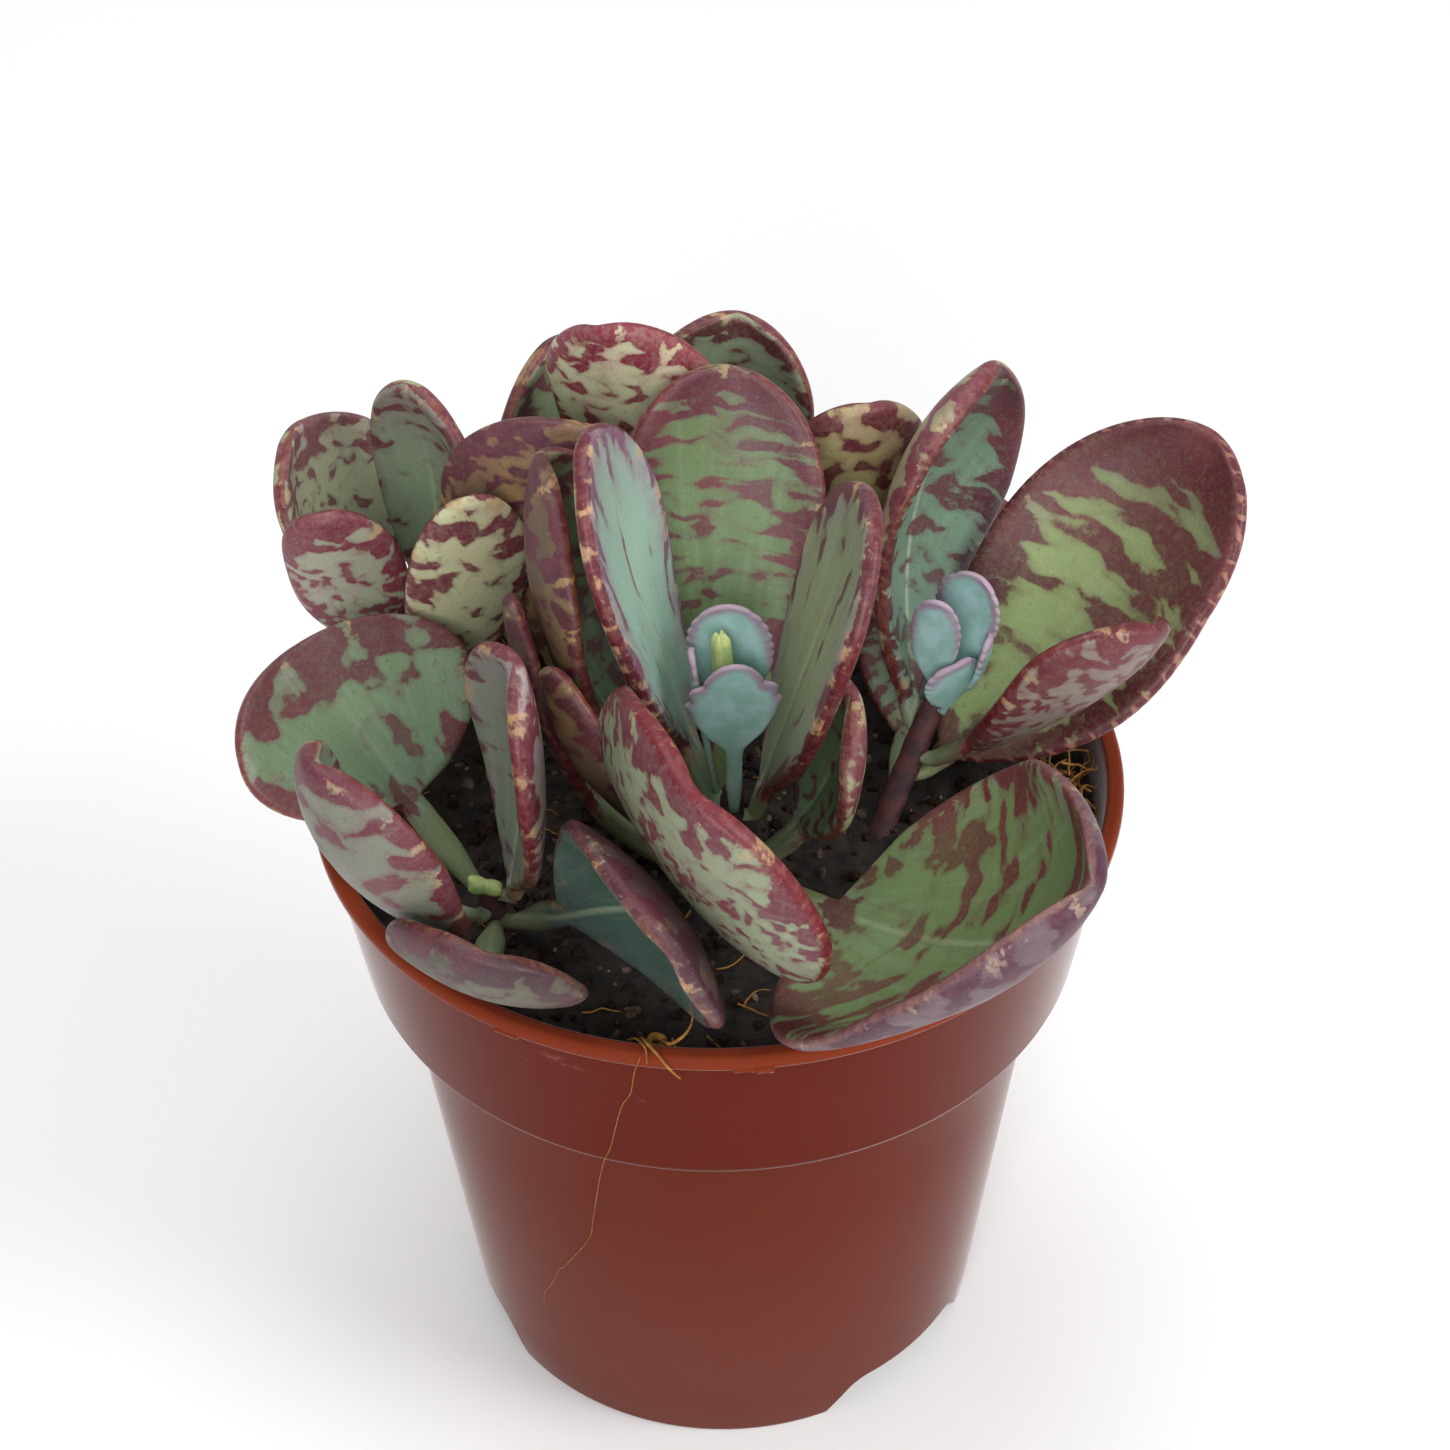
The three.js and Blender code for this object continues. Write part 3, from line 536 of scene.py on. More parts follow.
def new_group(name, inputs, outputs):
    """Empty node group with number sockets, and its tree, inputs and outputs."""
    group = bpy.data.node_groups.new(name, "ShaderNodeTree")
    for socket in inputs:
        group.interface.new_socket(socket, in_out="INPUT", socket_type="NodeSocketFloat")
    for socket in outputs:
        group.interface.new_socket(socket, in_out="OUTPUT", socket_type="NodeSocketFloat")
    tree = Tree(group)
    start = tree.node("NodeGroupInput").outputs
    end = tree.node("NodeGroupOutput").inputs
    return group, tree, start, end


def use_group(tree, group, **values):
    made = tree.node("ShaderNodeGroup", node_tree=group)
    for key, value in values.items():
        tree.feed(made.inputs[key.replace("_", " ")], value)
    return made.outputs


def rgb(red, green, blue):
    """Linear colour from the usual 0 to 255 values."""
    def linear(value):
        part = value / 255
        return part / 12.92 if part <= 0.04045 else ((part + 0.055) / 1.055) ** 2.4
    return (linear(red), linear(green), linear(blue), 1)


# Dashes and veins fan out from points behind the blade's foot: how far back, and how far apart they lie
ARC_CENTRE = 9.0
ARC_SPREAD = 34.0
VEIN_CENTRE = 12.0
VEIN_SPREAD = 26.0


def markings_group():
    """Masks of a leaf face's markings: maroon dashes on arcs round the foot, closer together near the
    margin, specks, the thin rim with its pale gaps, the bloom inside it, the veins and the midrib."""
    group, tree, given, out = new_group(
        "leaf_markings",
        ("Amount", "Band", "Length", "Seed", "Face Seed", "Rim Width", "Margin Dark", "Margin Reach",
         "Tip Dark", "Blade", "Gaps", "Beads"),
        ("Blotch", "Speck", "Rim", "Spot", "Bloom", "Midrib", "Tone", "Fleck", "Vein", "Bead"))
    across, along, face = tree.parts(tree.attribute("leaf_place"))
    apart, walked, stalk = tree.parts(tree.attribute("leaf_rim"))
    stalk = tree.math("MINIMUM", stalk, 1.0)
    flat = tree.vector(across, along, tree.math("MULTIPLY", face, 1.3))
    share = tree.math("DIVIDE", along, given["Blade"])
    blade = tree.math("SUBTRACT", 1.0, stalk)
    ragged = tree.noise(flat, 1.15, detail=3.0, roughness=0.7, seed=given["Seed"])
    uneven = tree.math("SUBTRACT", ragged, 0.5)

    # Rim: a thin red line, broken by short pale gaps with ragged sides
    beat = tree.noise(tree.vector(walked, tree.math("MULTIPLY", apart, 0.35), face), 0.3, detail=2.0,
                      roughness=0.55, seed=given["Seed"])
    gaps = tree.math("ADD", beat, tree.math("MULTIPLY", uneven, 0.45))
    gap_level = tree.math("SUBTRACT", 1.0, given["Gaps"])
    gaps = tree.ramp(gaps, gap_level, tree.math("ADD", gap_level, 0.12))
    from_edge = tree.math("MULTIPLY_ADD", tree.math("ABSOLUTE", face), 0.9, tree.math("MULTIPLY", apart, 0.7))
    edge = tree.math("ADD", given["Rim Width"], tree.math("MULTIPLY", uneven, 1.5))
    edge = tree.math("ADD", edge, tree.math("MULTIPLY", tree.math("SUBTRACT", beat, 0.5), -0.8))
    rim = tree.math("MULTIPLY", tree.ramp(from_edge, edge, tree.math("ADD", edge, 0.45), 1.0, 0.0), blade)
    beat_turn = tree.math("MULTIPLY_ADD", walked, 2.1, tree.math("MULTIPLY", beat, 16.0))
    bead = tree.math("ADD", tree.math("SINE", beat_turn), tree.math("MULTIPLY", uneven, 2.0))
    at_edge = tree.ramp(from_edge, 0.15, 1.1, given["Beads"], 0.0)
    bead = tree.math("MULTIPLY", tree.ramp(bead, 0.35, 0.9), at_edge)
    near_rim = tree.ramp(apart, 0.0, given["Margin Reach"], 1.0, 0.0)
    tree.feed(out["Rim"], rim)
    tree.feed(out["Fleck"], ragged)

    # Dashes on arcs round the blade's foot, with soft mottled sides
    moved = tree.swirl(flat, 0.2, 3.6, detail=1.0, seed=given["Face Seed"])
    side, out_along, _ = tree.parts(moved)
    from_foot = tree.math("ADD", out_along, ARC_CENTRE)
    reach = tree.math("SQRT", tree.math("ADD", tree.math("MULTIPLY", side, side),
                                        tree.math("MULTIPLY", from_foot, from_foot)))
    turn = tree.math("MULTIPLY", tree.math("ARCTAN2", side, from_foot), ARC_SPREAD)
    laid = tree.vector(tree.math("DIVIDE", turn, given["Length"]),
                       tree.math("DIVIDE", reach, given["Band"]), 0.0)
    bands = tree.noise(laid, 1.0, detail=1.5, roughness=0.5, seed=given["Face Seed"])
    bands = tree.math("ADD", bands, tree.math("MULTIPLY", uneven, 0.1))
    wanted = tree.math("ADD", given["Amount"], tree.math("MULTIPLY", near_rim, given["Margin Dark"]))
    wanted = tree.math("ADD", wanted, tree.math("MULTIPLY", tree.ramp(share, 0.4, 1.0), given["Tip Dark"]))
    wanted = tree.math("SUBTRACT", wanted, tree.math("MULTIPLY", stalk, 0.3))
    wanted = tree.math("SUBTRACT", wanted, tree.math("MULTIPLY", tree.math("MULTIPLY", gaps, near_rim), 0.12))
    level = tree.math("SUBTRACT", 1.0, wanted)
    blotch = tree.ramp(bands, level, tree.math("ADD", level, 0.07))
    halo = tree.ramp(bands, tree.math("SUBTRACT", level, 0.07), tree.math("ADD", level, 0.04), 0.0, 0.3)
    depth = tree.ramp(ragged, 0.3, 0.6, 0.8, 1.0)
    fade = tree.math("ADD", tree.ramp(share, 0.05, 0.5, 0.65, 0.95), tree.math("MULTIPLY", near_rim, 0.3),
                     clamp=True)
    blotch = tree.math("MULTIPLY", tree.math("MAXIMUM", tree.math("MULTIPLY", blotch, depth), halo), fade)
    tree.feed(out["Blotch"], blotch)
    tree.feed(out["Spot"], tree.math("MULTIPLY", tree.math("MULTIPLY", gaps, blade),
                                     tree.math("MULTIPLY", tree.ramp(apart, 0.3, 3.0, 1.0, 0.0),
                                               tree.math("SUBTRACT", 1.0, blotch))))
    tree.feed(out["Bead"], tree.math("MULTIPLY", bead, blade))

    # Specks, bloom, veins and midrib
    dots = tree.noise(flat, 1.3, detail=1.0, roughness=0.5, seed=given["Face Seed"])
    dots = tree.math("ADD", dots, tree.math("MULTIPLY", near_rim, 0.05))
    tree.feed(out["Speck"], tree.ramp(dots, 0.66, 0.76))
    tree.feed(out["Tone"], tree.noise(tree.vector(walked, 0.0, 0.0), 0.09, detail=2.0, seed=given["Seed"]))
    cloud = tree.noise(flat, 0.22, detail=3.0, roughness=0.6, seed=tree.math("ADD", given["Seed"], 5.0))
    tree.feed(out["Bloom"], tree.math("MULTIPLY", tree.ramp(cloud, 0.35, 0.65),
                                      tree.math("MULTIPLY", tree.ramp(apart, 0.8, 6.5, 1.0, 0.0), blade)))
    fan = tree.math("ARCTAN2", across, tree.math("ADD", along, VEIN_CENTRE))
    fan = tree.math("MULTIPLY", fan, VEIN_SPREAD)
    streaks = tree.noise(tree.vector(fan, tree.math("MULTIPLY", along, 0.07), face), 0.9, detail=2.0,
                         seed=given["Face Seed"])
    tree.feed(out["Vein"], tree.ramp(streaks, 0.45, 0.7))
    rib = tree.ramp(tree.math("ABSOLUTE", across), 0.1, 0.8, 1.0, 0.0)
    tree.feed(out["Midrib"], tree.math("MULTIPLY", rib, tree.ramp(share, 0.3, 0.9, 1.0, 0.0)))
    return group


def waxy_group():
    """Soft mottling and the fine grain of the leaf's skin."""
    group, tree, given, out = new_group("waxy_skin", ("Seed",), ("Mottle", "Grain"))
    place = tree.node("ShaderNodeTexCoord").outputs["Object"]
    tree.feed(out["Mottle"], tree.noise(place, 90.0, detail=3.0, roughness=0.6, seed=given["Seed"]))
    tree.feed(out["Grain"], tree.noise(place, 3000.0, detail=2.0, roughness=0.6, seed=given["Seed"]))
    return group


# Leaf finishes. Colours are 0 to 255, lengths in millimetres and the rest are shares. The upper face
# has a foot, middle and tip colour, the underside two colours, and then come the markings and the rim.
LOOK = {
    "foot": (112, 142, 112), "middle": (112, 132, 96), "tip": (116, 126, 90), "mark": (92, 44, 56),
    "under": (158, 164, 122), "under_far": (148, 146, 118), "under_mark": (110, 44, 60),
    "rim": (92, 28, 36), "rust": (108, 48, 40), "spot": (176, 140, 96), "bloom": (150, 128, 142),
    "amount": 0.44, "under_amount": 0.46, "band": 2.3, "length": 5.8, "under_band": 3.0, "under_length": 3.6,
    "margin_dark": 0.12, "margin_reach": 6.5, "tip_dark": 0.04, "rim_width": 0.3, "gaps": 0.44, "midrib": 0.4,
    "blooming": 0.25, "speck": 0.3, "stalk": (118, 120, 80), "stalk_share": 0.6, "veins": 0.1, "beads": 0.12,
}

# What each leaf has otherwise than LOOK
LOOKS = {
    "centre_leaf_back": {
        "foot": (92, 118, 72), "middle": (96, 120, 76), "tip": (96, 108, 72), "mark": (88, 36, 50),
        "rim": (98, 34, 40), "rust": (114, 52, 44), "amount": 0.485, "band": 2.2, "length": 6.8,
        "margin_dark": 0.1, "midrib": 0.1,
    },
    "centre_leaf_left": {
        "foot": (150, 188, 170), "middle": (154, 186, 170), "tip": (142, 158, 146), "mark": (120, 84, 106),
        "rim": (96, 20, 32), "rust": (92, 34, 46), "spot": (200, 160, 118), "amount": 0.36, "band": 10.0,
        "length": 1.8, "margin_dark": 0.16, "margin_reach": 5.0, "rim_width": 0.8, "gaps": 0.5,
        "midrib": 0.7, "blooming": 0.85, "speck": 0.15, "veins": 0.12,
    },
    "centre_leaf_right": {
        "foot": (134, 150, 122), "middle": (138, 146, 112), "tip": (122, 130, 102), "mark": (92, 48, 62),
        "rim": (96, 20, 32), "rust": (92, 34, 46), "spot": (200, 160, 118), "amount": 0.38, "band": 8.6,
        "length": 2.2, "margin_dark": 0.2, "margin_reach": 4.0, "rim_width": 0.75, "gaps": 0.48,
        "midrib": 0.35, "blooming": 0.6, "speck": 0.15, "veins": 0.15,
    },
    "centre_leaf_front": {
        "under": (134, 144, 114), "under_far": (126, 130, 108), "under_mark": (96, 34, 50),
        "rim": (106, 18, 30), "rust": (100, 26, 36), "under_amount": 0.462, "under_band": 2.6,
        "under_length": 2.3, "rim_width": 1.15, "gaps": 0.46,
    },
    "centre_leaf_low_left": {
        "under": (122, 94, 62), "under_far": (84, 70, 58), "under_mark": (74, 32, 42),
        "rust": (120, 74, 48),
    },
    "centre_leaf_far_left": {
        "under": (132, 106, 70), "under_far": (90, 76, 62), "under_mark": (78, 34, 48),
        "rust": (120, 74, 48),
    },
    "centre_leaf_low_outer": {
        "under": (104, 82, 66), "under_far": (78, 64, 58), "under_mark": (70, 30, 42),
    },
    "centre_leaf_over_rim": {
        "foot": (116, 140, 92), "middle": (106, 128, 80), "tip": (92, 112, 74), "mark": (94, 38, 44),
        "under": (112, 94, 94), "under_far": (96, 78, 86), "under_mark": (66, 32, 50), "rim": (104, 66, 72),
        "rust": (118, 84, 78), "spot": (160, 132, 112), "amount": 0.49, "under_amount": 0.44, "band": 3.3,
        "length": 8.5, "under_band": 4.6, "under_length": 4.0, "margin_dark": 0.14, "margin_reach": 9.0,
        "tip_dark": 0.0, "midrib": 0.3,
    },
    "right_leaf_back": {
        "foot": (120, 152, 134), "middle": (106, 136, 114), "tip": (88, 108, 84), "mark": (80, 36, 48),
        "under": (148, 134, 104), "spot": (186, 160, 118), "amount": 0.47, "length": 7.2,
        "margin_dark": 0.1, "tip_dark": 0.08, "midrib": 0.7,
    },
    "right_leaf_large": {
        "foot": (138, 158, 100), "middle": (138, 154, 100), "tip": (96, 100, 76), "mark": (86, 34, 42),
        "rim": (84, 26, 34), "rust": (92, 34, 38), "spot": (166, 118, 92), "amount": 0.485, "band": 3.4,
        "length": 9.5, "margin_dark": 0.16, "margin_reach": 8.0, "tip_dark": 0.14, "midrib": 0.1,
        "beads": 0.5,
    },
    "right_leaf_on_edge": {
        "under": (126, 118, 100), "under_far": (120, 104, 102), "under_mark": (88, 24, 36),
        "rim": (92, 20, 32), "rust": (104, 36, 40), "under_amount": 0.48, "under_band": 2.2,
        "under_length": 2.9, "rim_width": 0.7,
    },
    "left_leaf_broad": {
        "foot": (100, 130, 98), "middle": (110, 134, 100), "tip": (106, 116, 90), "mark": (92, 48, 54),
        "rim": (100, 30, 38), "spot": (162, 136, 92), "amount": 0.42, "band": 4.3, "length": 6.5,
        "margin_dark": 0.13, "margin_reach": 9.0, "tip_dark": 0.1, "midrib": 0.15,
    },
    "left_leaf_upright": {
        "foot": (108, 120, 104), "middle": (116, 122, 108), "tip": (126, 120, 116),
        "under": (150, 144, 130), "under_far": (150, 134, 138), "under_mark": (104, 36, 52),
        "rim": (102, 22, 34), "rust": (96, 34, 46), "amount": 0.36, "rim_width": 0.6, "gaps": 0.48,
    },
    "left_leaf_outer": {
        "foot": (126, 150, 134), "middle": (128, 150, 134), "under": (118, 122, 102),
        "under_far": (106, 104, 100), "under_mark": (92, 34, 50), "rim": (104, 28, 38), "amount": 0.3,
        "under_amount": 0.45, "under_band": 3.6, "under_length": 4.4, "margin_dark": 0.16,
    },
    "left_leaf_at_rim": {
        "under": (88, 84, 66), "under_far": (70, 64, 58), "under_mark": (60, 30, 40), "rust": (96, 72, 56),
        "spot": (150, 132, 92),
    },
    "left_leaf_front": {
        "foot": (72, 98, 90), "middle": (64, 88, 76), "tip": (78, 76, 66), "under": (92, 74, 70),
        "under_far": (78, 58, 64), "under_mark": (64, 28, 42), "rim": (74, 32, 42), "rust": (112, 68, 44),
        "amount": 0.3,
    },
    "back_left_leaf_outer": {
        "middle": (156, 164, 130), "tip": (146, 140, 120), "mark": (104, 62, 68), "band": 1.9,
        "length": 3.6,
    },
    "back_left_leaf_back": {
        "foot": (120, 144, 114), "middle": (128, 146, 118), "tip": (126, 122, 110), "rim": (104, 40, 48),
        "amount": 0.33,
    },
    "back_left_leaf_front": {
        "under": (150, 162, 132), "under_far": (152, 142, 130), "under_mark": (112, 44, 62),
        "under_band": 2.2, "under_length": 2.9, "margin_dark": 0.16,
    },
    "back_left_leaf_inner": {
        "under": (190, 196, 154), "under_far": (182, 176, 142), "under_mark": (104, 44, 58),
        "under_amount": 0.43, "under_band": 2.4, "under_length": 2.6,
    },
    "back_leaf_front": {
        "under": (190, 204, 158), "under_far": (196, 176, 156), "under_mark": (122, 30, 54),
        "rim": (128, 34, 58), "under_amount": 0.463, "under_band": 2.6,
    },
    "inner_left_leaf_back": {
        "under": (150, 132, 84), "under_far": (140, 110, 84), "under_mark": (84, 38, 48),
    },
    "inner_left_leaf_front": {
        "under": (146, 116, 76), "under_far": (112, 88, 66), "under_mark": (80, 36, 52),
        "under_amount": 0.48, "under_band": 2.2, "under_length": 2.9,
    },
    "back_leaf_right": {
        "middle": (146, 164, 130), "tip": (146, 158, 128), "mark": (96, 48, 54), "amount": 0.42,
    },
    "back_right_leaf_front": {
        "under": (176, 168, 110), "under_far": (166, 140, 122), "under_mark": (96, 34, 46),
    },
}


# Colours that every leaf shares
VEIN_COLOR = (170, 184, 164)
MIDRIB_COLOR = (178, 190, 160)
FADED_MARK = (124, 58, 66)
BEAD_COLOR = (184, 132, 110)
DUST_COLOR = (190, 186, 180)


def shaded(color, share):
    """A 0 to 255 colour darkened to a share of itself, as a linear colour."""
    return rgb(*(part * share for part in color))


def look_of(name):
    """All of a leaf's look values."""
    return {**LOOK, **LOOKS.get(name, {})}


def leaf_material(name, leaf, look, markings, waxy, seed):
    """Waxy skin: green above and paler below, maroon marks, a red rim with pale gaps and a fine dust."""
    material = new_material(name + "_skin")
    tree = Tree(material.node_tree)
    _, along, face = tree.parts(tree.attribute("leaf_place"))
    _, _, stalk = tree.parts(tree.attribute("leaf_rim"))
    upper = tree.ramp(face, -0.25, 0.25)
    skin_masks = use_group(tree, waxy, Seed=seed)
    mottle, grain = skin_masks["Mottle"], skin_masks["Grain"]
    is_upper = tree.math("GREATER_THAN", face, 0.0)

    def by_face(under_value, upper_value):
        return tree.math("MULTIPLY_ADD", is_upper, upper_value - under_value, under_value)

    marks = use_group(tree, markings, Amount=by_face(look["under_amount"], look["amount"]),
                      Band=by_face(look["under_band"], look["band"]),
                      Length=by_face(look["under_length"], look["length"]),
                      Seed=seed, Face_Seed=by_face(seed + 7.3, seed), Rim_Width=look["rim_width"],
                      Margin_Dark=look["margin_dark"], Margin_Reach=look["margin_reach"],
                      Tip_Dark=look["tip_dark"], Blade=leaf["length"], Gaps=look["gaps"],
                      Beads=look["beads"])
    share = tree.math("DIVIDE", along, leaf["length"])
    green = tree.mix(tree.ramp(share, 0.05, 0.5), rgb(*look["foot"]), rgb(*look["middle"]))
    green = tree.mix(tree.ramp(share, 0.5, 1.0), green, rgb(*look["tip"]))
    green = tree.mix(tree.ramp(mottle, 0.3, 0.7, 0.0, 0.3), green, shaded(look["middle"], 0.84))
    green = tree.mix(tree.math("MULTIPLY", marks["Vein"], look["veins"]), green, rgb(*VEIN_COLOR))
    green = tree.mix(tree.math("MULTIPLY", marks["Bloom"], look["blooming"]), green, rgb(*look["bloom"]))
    green = tree.mix(tree.math("MULTIPLY", marks["Midrib"], look["midrib"]), green, rgb(*MIDRIB_COLOR))
    pale = tree.mix(tree.ramp(mottle, 0.3, 0.7), rgb(*look["under"]), rgb(*look["under_far"]))

    ground = tree.mix(upper, pale, green)
    ground = tree.mix(tree.ramp(stalk, 0.2, 1.0, 0.0, look["stalk_share"]), ground, rgb(*look["stalk"]))
    mark = tree.mix(upper, rgb(*look["under_mark"]), rgb(*look["mark"]))
    mark = tree.mix(tree.ramp(mottle, 0.42, 0.66, 0.0, 0.32), mark, rgb(*FADED_MARK))
    color = tree.mix(tree.math("MULTIPLY", marks["Speck"], look["speck"]), ground, mark)
    color = tree.mix(marks["Blotch"], color, mark)
    red = tree.mix(tree.ramp(marks["Tone"], 0.4, 0.62), rgb(*look["rim"]), rgb(*look["rust"]))
    red = tree.mix(tree.ramp(marks["Fleck"], 0.52, 0.62, 0.0, 0.5), red, shaded(look["rim"], 0.6))
    red = tree.mix(tree.ramp(marks["Fleck"], 0.38, 0.3, 0.0, 0.55), red, rgb(*look["spot"]))
    color = tree.mix(tree.math("MULTIPLY", marks["Rim"], 0.92), color, red)
    color = tree.mix(tree.math("MULTIPLY", marks["Spot"], 0.72), color, rgb(*look["spot"]))
    color = tree.mix(marks["Bead"], color, rgb(*BEAD_COLOR))
    color = tree.mix(tree.ramp(grain, 0.3, 0.5, 0.16, 0.0), color, shaded(look["mark"], 0.5))
    color = tree.mix(tree.ramp(grain, 0.55, 0.8, 0.0, 0.12), color, rgb(*DUST_COLOR))
    roughness = tree.math("SUBTRACT", tree.ramp(mottle, 0.3, 0.7, 0.44, 0.56),
                          tree.math("MULTIPLY", marks["Rim"], 0.08))
    tree.finish(color, roughness, tree.bump(grain, 0.12, 0.0002), Specular_IOR_Level=0.4)
    return material


def young_material():
    """Glaucous blue-green with a lilac margin, pale along its teeth, and an olive stalk."""
    material = new_material("young_leaf_skin")
    tree = Tree(material.node_tree)
    apart, _, stalk = tree.parts(tree.attribute("leaf_rim"))
    _, along, _ = tree.parts(tree.attribute("leaf_place"))
    place = tree.node("ShaderNodeTexCoord").outputs["Object"]
    cloud = tree.noise(place, 260.0, detail=3.0, roughness=0.6)
    fine = tree.noise(place, 2400.0, detail=2.0)
    color = tree.mix(tree.ramp(cloud, 0.35, 0.65), rgb(164, 198, 200), rgb(140, 180, 172))
    ragged = tree.math("ADD", apart, tree.math("MULTIPLY", tree.math("SUBTRACT", cloud, 0.5), 2.5))
    lilac = tree.math("MULTIPLY", tree.ramp(ragged, 0.1, 1.5, 0.85, 0.0), tree.ramp(along, 4.0, 8.0))
    color = tree.mix(lilac, color, rgb(146, 112, 138))
    pale = tree.math("MULTIPLY", tree.ramp(apart, 0.02, 0.2, 0.35, 0.0), tree.ramp(along, 5.0, 8.0))
    color = tree.mix(pale, color, rgb(190, 166, 176))
    color = tree.mix(tree.ramp(stalk, 0.9, 2.2, 0.0, 0.5), color, rgb(122, 138, 96))
    tree.finish(color, 0.5, tree.bump(fine, 0.1, 0.0002), Subsurface_Weight=0.08, Subsurface_Scale=0.001,
                Specular_IOR_Level=0.4)
    return material


def plain_material(name, color, second, scale, roughness, grain, **fixed):
    """A two-tone finish with a grain, for the small pieces."""
    material = new_material(name)
    tree = Tree(material.node_tree)
    place = tree.node("ShaderNodeTexCoord").outputs["Object"]
    patches = tree.noise(place, scale, detail=4.0, roughness=0.6)
    fine = tree.noise(place, scale * 12, detail=2.0)
    tree.finish(tree.mix(tree.ramp(patches, 0.35, 0.65), rgb(*color), rgb(*second)), roughness,
                tree.bump(fine, grain, 0.0003), **fixed)
    return material


# Colours of the pot
POT_BODY_FOOT = (104, 54, 44)
POT_BODY_TOP = (93, 36, 23)
POT_COLLAR = (88, 24, 8)
POT_LIP = (120, 50, 29)
# Painted shade: the darker colour of the band under the collar's overhang
POT_LEDGE_SHADE = (72, 22, 10)
POT_CLOUD = (84, 30, 22)
POT_SCUFF = (150, 100, 92)


def pot_material():
    """Thin terracotta-coloured plastic: dark red collar, orange lip, a body paler towards its foot under a
    dusty sheen, faint scuffs, and painted shade at the ledge under the collar.
    """
    material = new_material("pot_plastic")
    tree = Tree(material.node_tree)
    place = tree.node("ShaderNodeTexCoord").outputs["Object"]
    x, y, z = tree.parts(place)
    cloud = tree.noise(place, 22.0, detail=2.0, roughness=0.5)
    fine = tree.noise(place, 900.0, detail=2.0)
    color = tree.mix(tree.ramp(z, 0.0, 0.064), rgb(*POT_BODY_FOOT), rgb(*POT_BODY_TOP))
    color = tree.mix(tree.ramp(z, 0.0662, 0.0682), color, rgb(*POT_COLLAR))
    color = tree.mix(tree.ramp(z, 0.0898, 0.0904), color, rgb(*POT_LIP))
    # Painted shade: a darker band over the ledge, where the collar's overhang casts its shadow
    ledge_shade = tree.math("MULTIPLY", tree.ramp(z, 0.0654, 0.0664, 0.0, 0.8),
                      tree.ramp(z, 0.067, 0.0682, 1.0, 0.0))
    color = tree.mix(ledge_shade, color, rgb(*POT_LEDGE_SHADE))
    color = tree.mix(tree.ramp(cloud, 0.35, 0.7, 0.0, 0.16), color, rgb(*POT_CLOUD))
    scuffs = tree.noise(tree.vector(x, y, tree.math("MULTIPLY", z, 2.2)), 160.0, detail=4.0, roughness=0.7)
    scuffed = tree.math("MULTIPLY", tree.ramp(scuffs, 0.62, 0.75, 0.0, 0.35),
                        tree.math("MULTIPLY", tree.ramp(z, 0.072, 0.086), tree.ramp(cloud, 0.45, 0.6)))
    color = tree.mix(scuffed, color, rgb(*POT_SCUFF))
    roughness = tree.ramp(cloud, 0.3, 0.7, 0.34, 0.42)
    tree.finish(color, roughness, tree.bump(fine, 0.04, 0.0002), Specular_IOR_Level=0.015,
                Sheen_Weight=0.55, Sheen_Roughness=0.27)
    return material


def dry_material(name, first, second, scale):
    """Dry plant matter: two dull tones with a fine grain."""
    return plain_material(name, first, second, scale, 0.85, 0.6, Specular_IOR_Level=0.1)


# Pot

def rounded(profile, reach):
    """Profile with each inner corner replaced by a short arc that starts within reach of it."""
    points = [profile[0]]
    for before, corner, after in zip(profile, profile[1:], profile[2:]):
        before, corner, after = Vector(before), Vector(corner), Vector(after)
        back, on = before - corner, after - corner
        near = min(reach, back.length * 0.45, on.length * 0.45)
        start, end = corner + back.normalized() * near, corner + on.normalized() * near
        for part in (0, 0.33, 0.67, 1):
            points.append(tuple(start.lerp(corner, part).lerp(corner.lerp(end, part), part)))
    return points + [profile[-1]]


def body_radius(height):
    """Outer radius of the tapering body at a height."""
    return FOOT_RADIUS + (BODY_TOP_RADIUS - FOOT_RADIUS) * height / (COLLAR_FOOT_HEIGHT - LEDGE_HEIGHT)


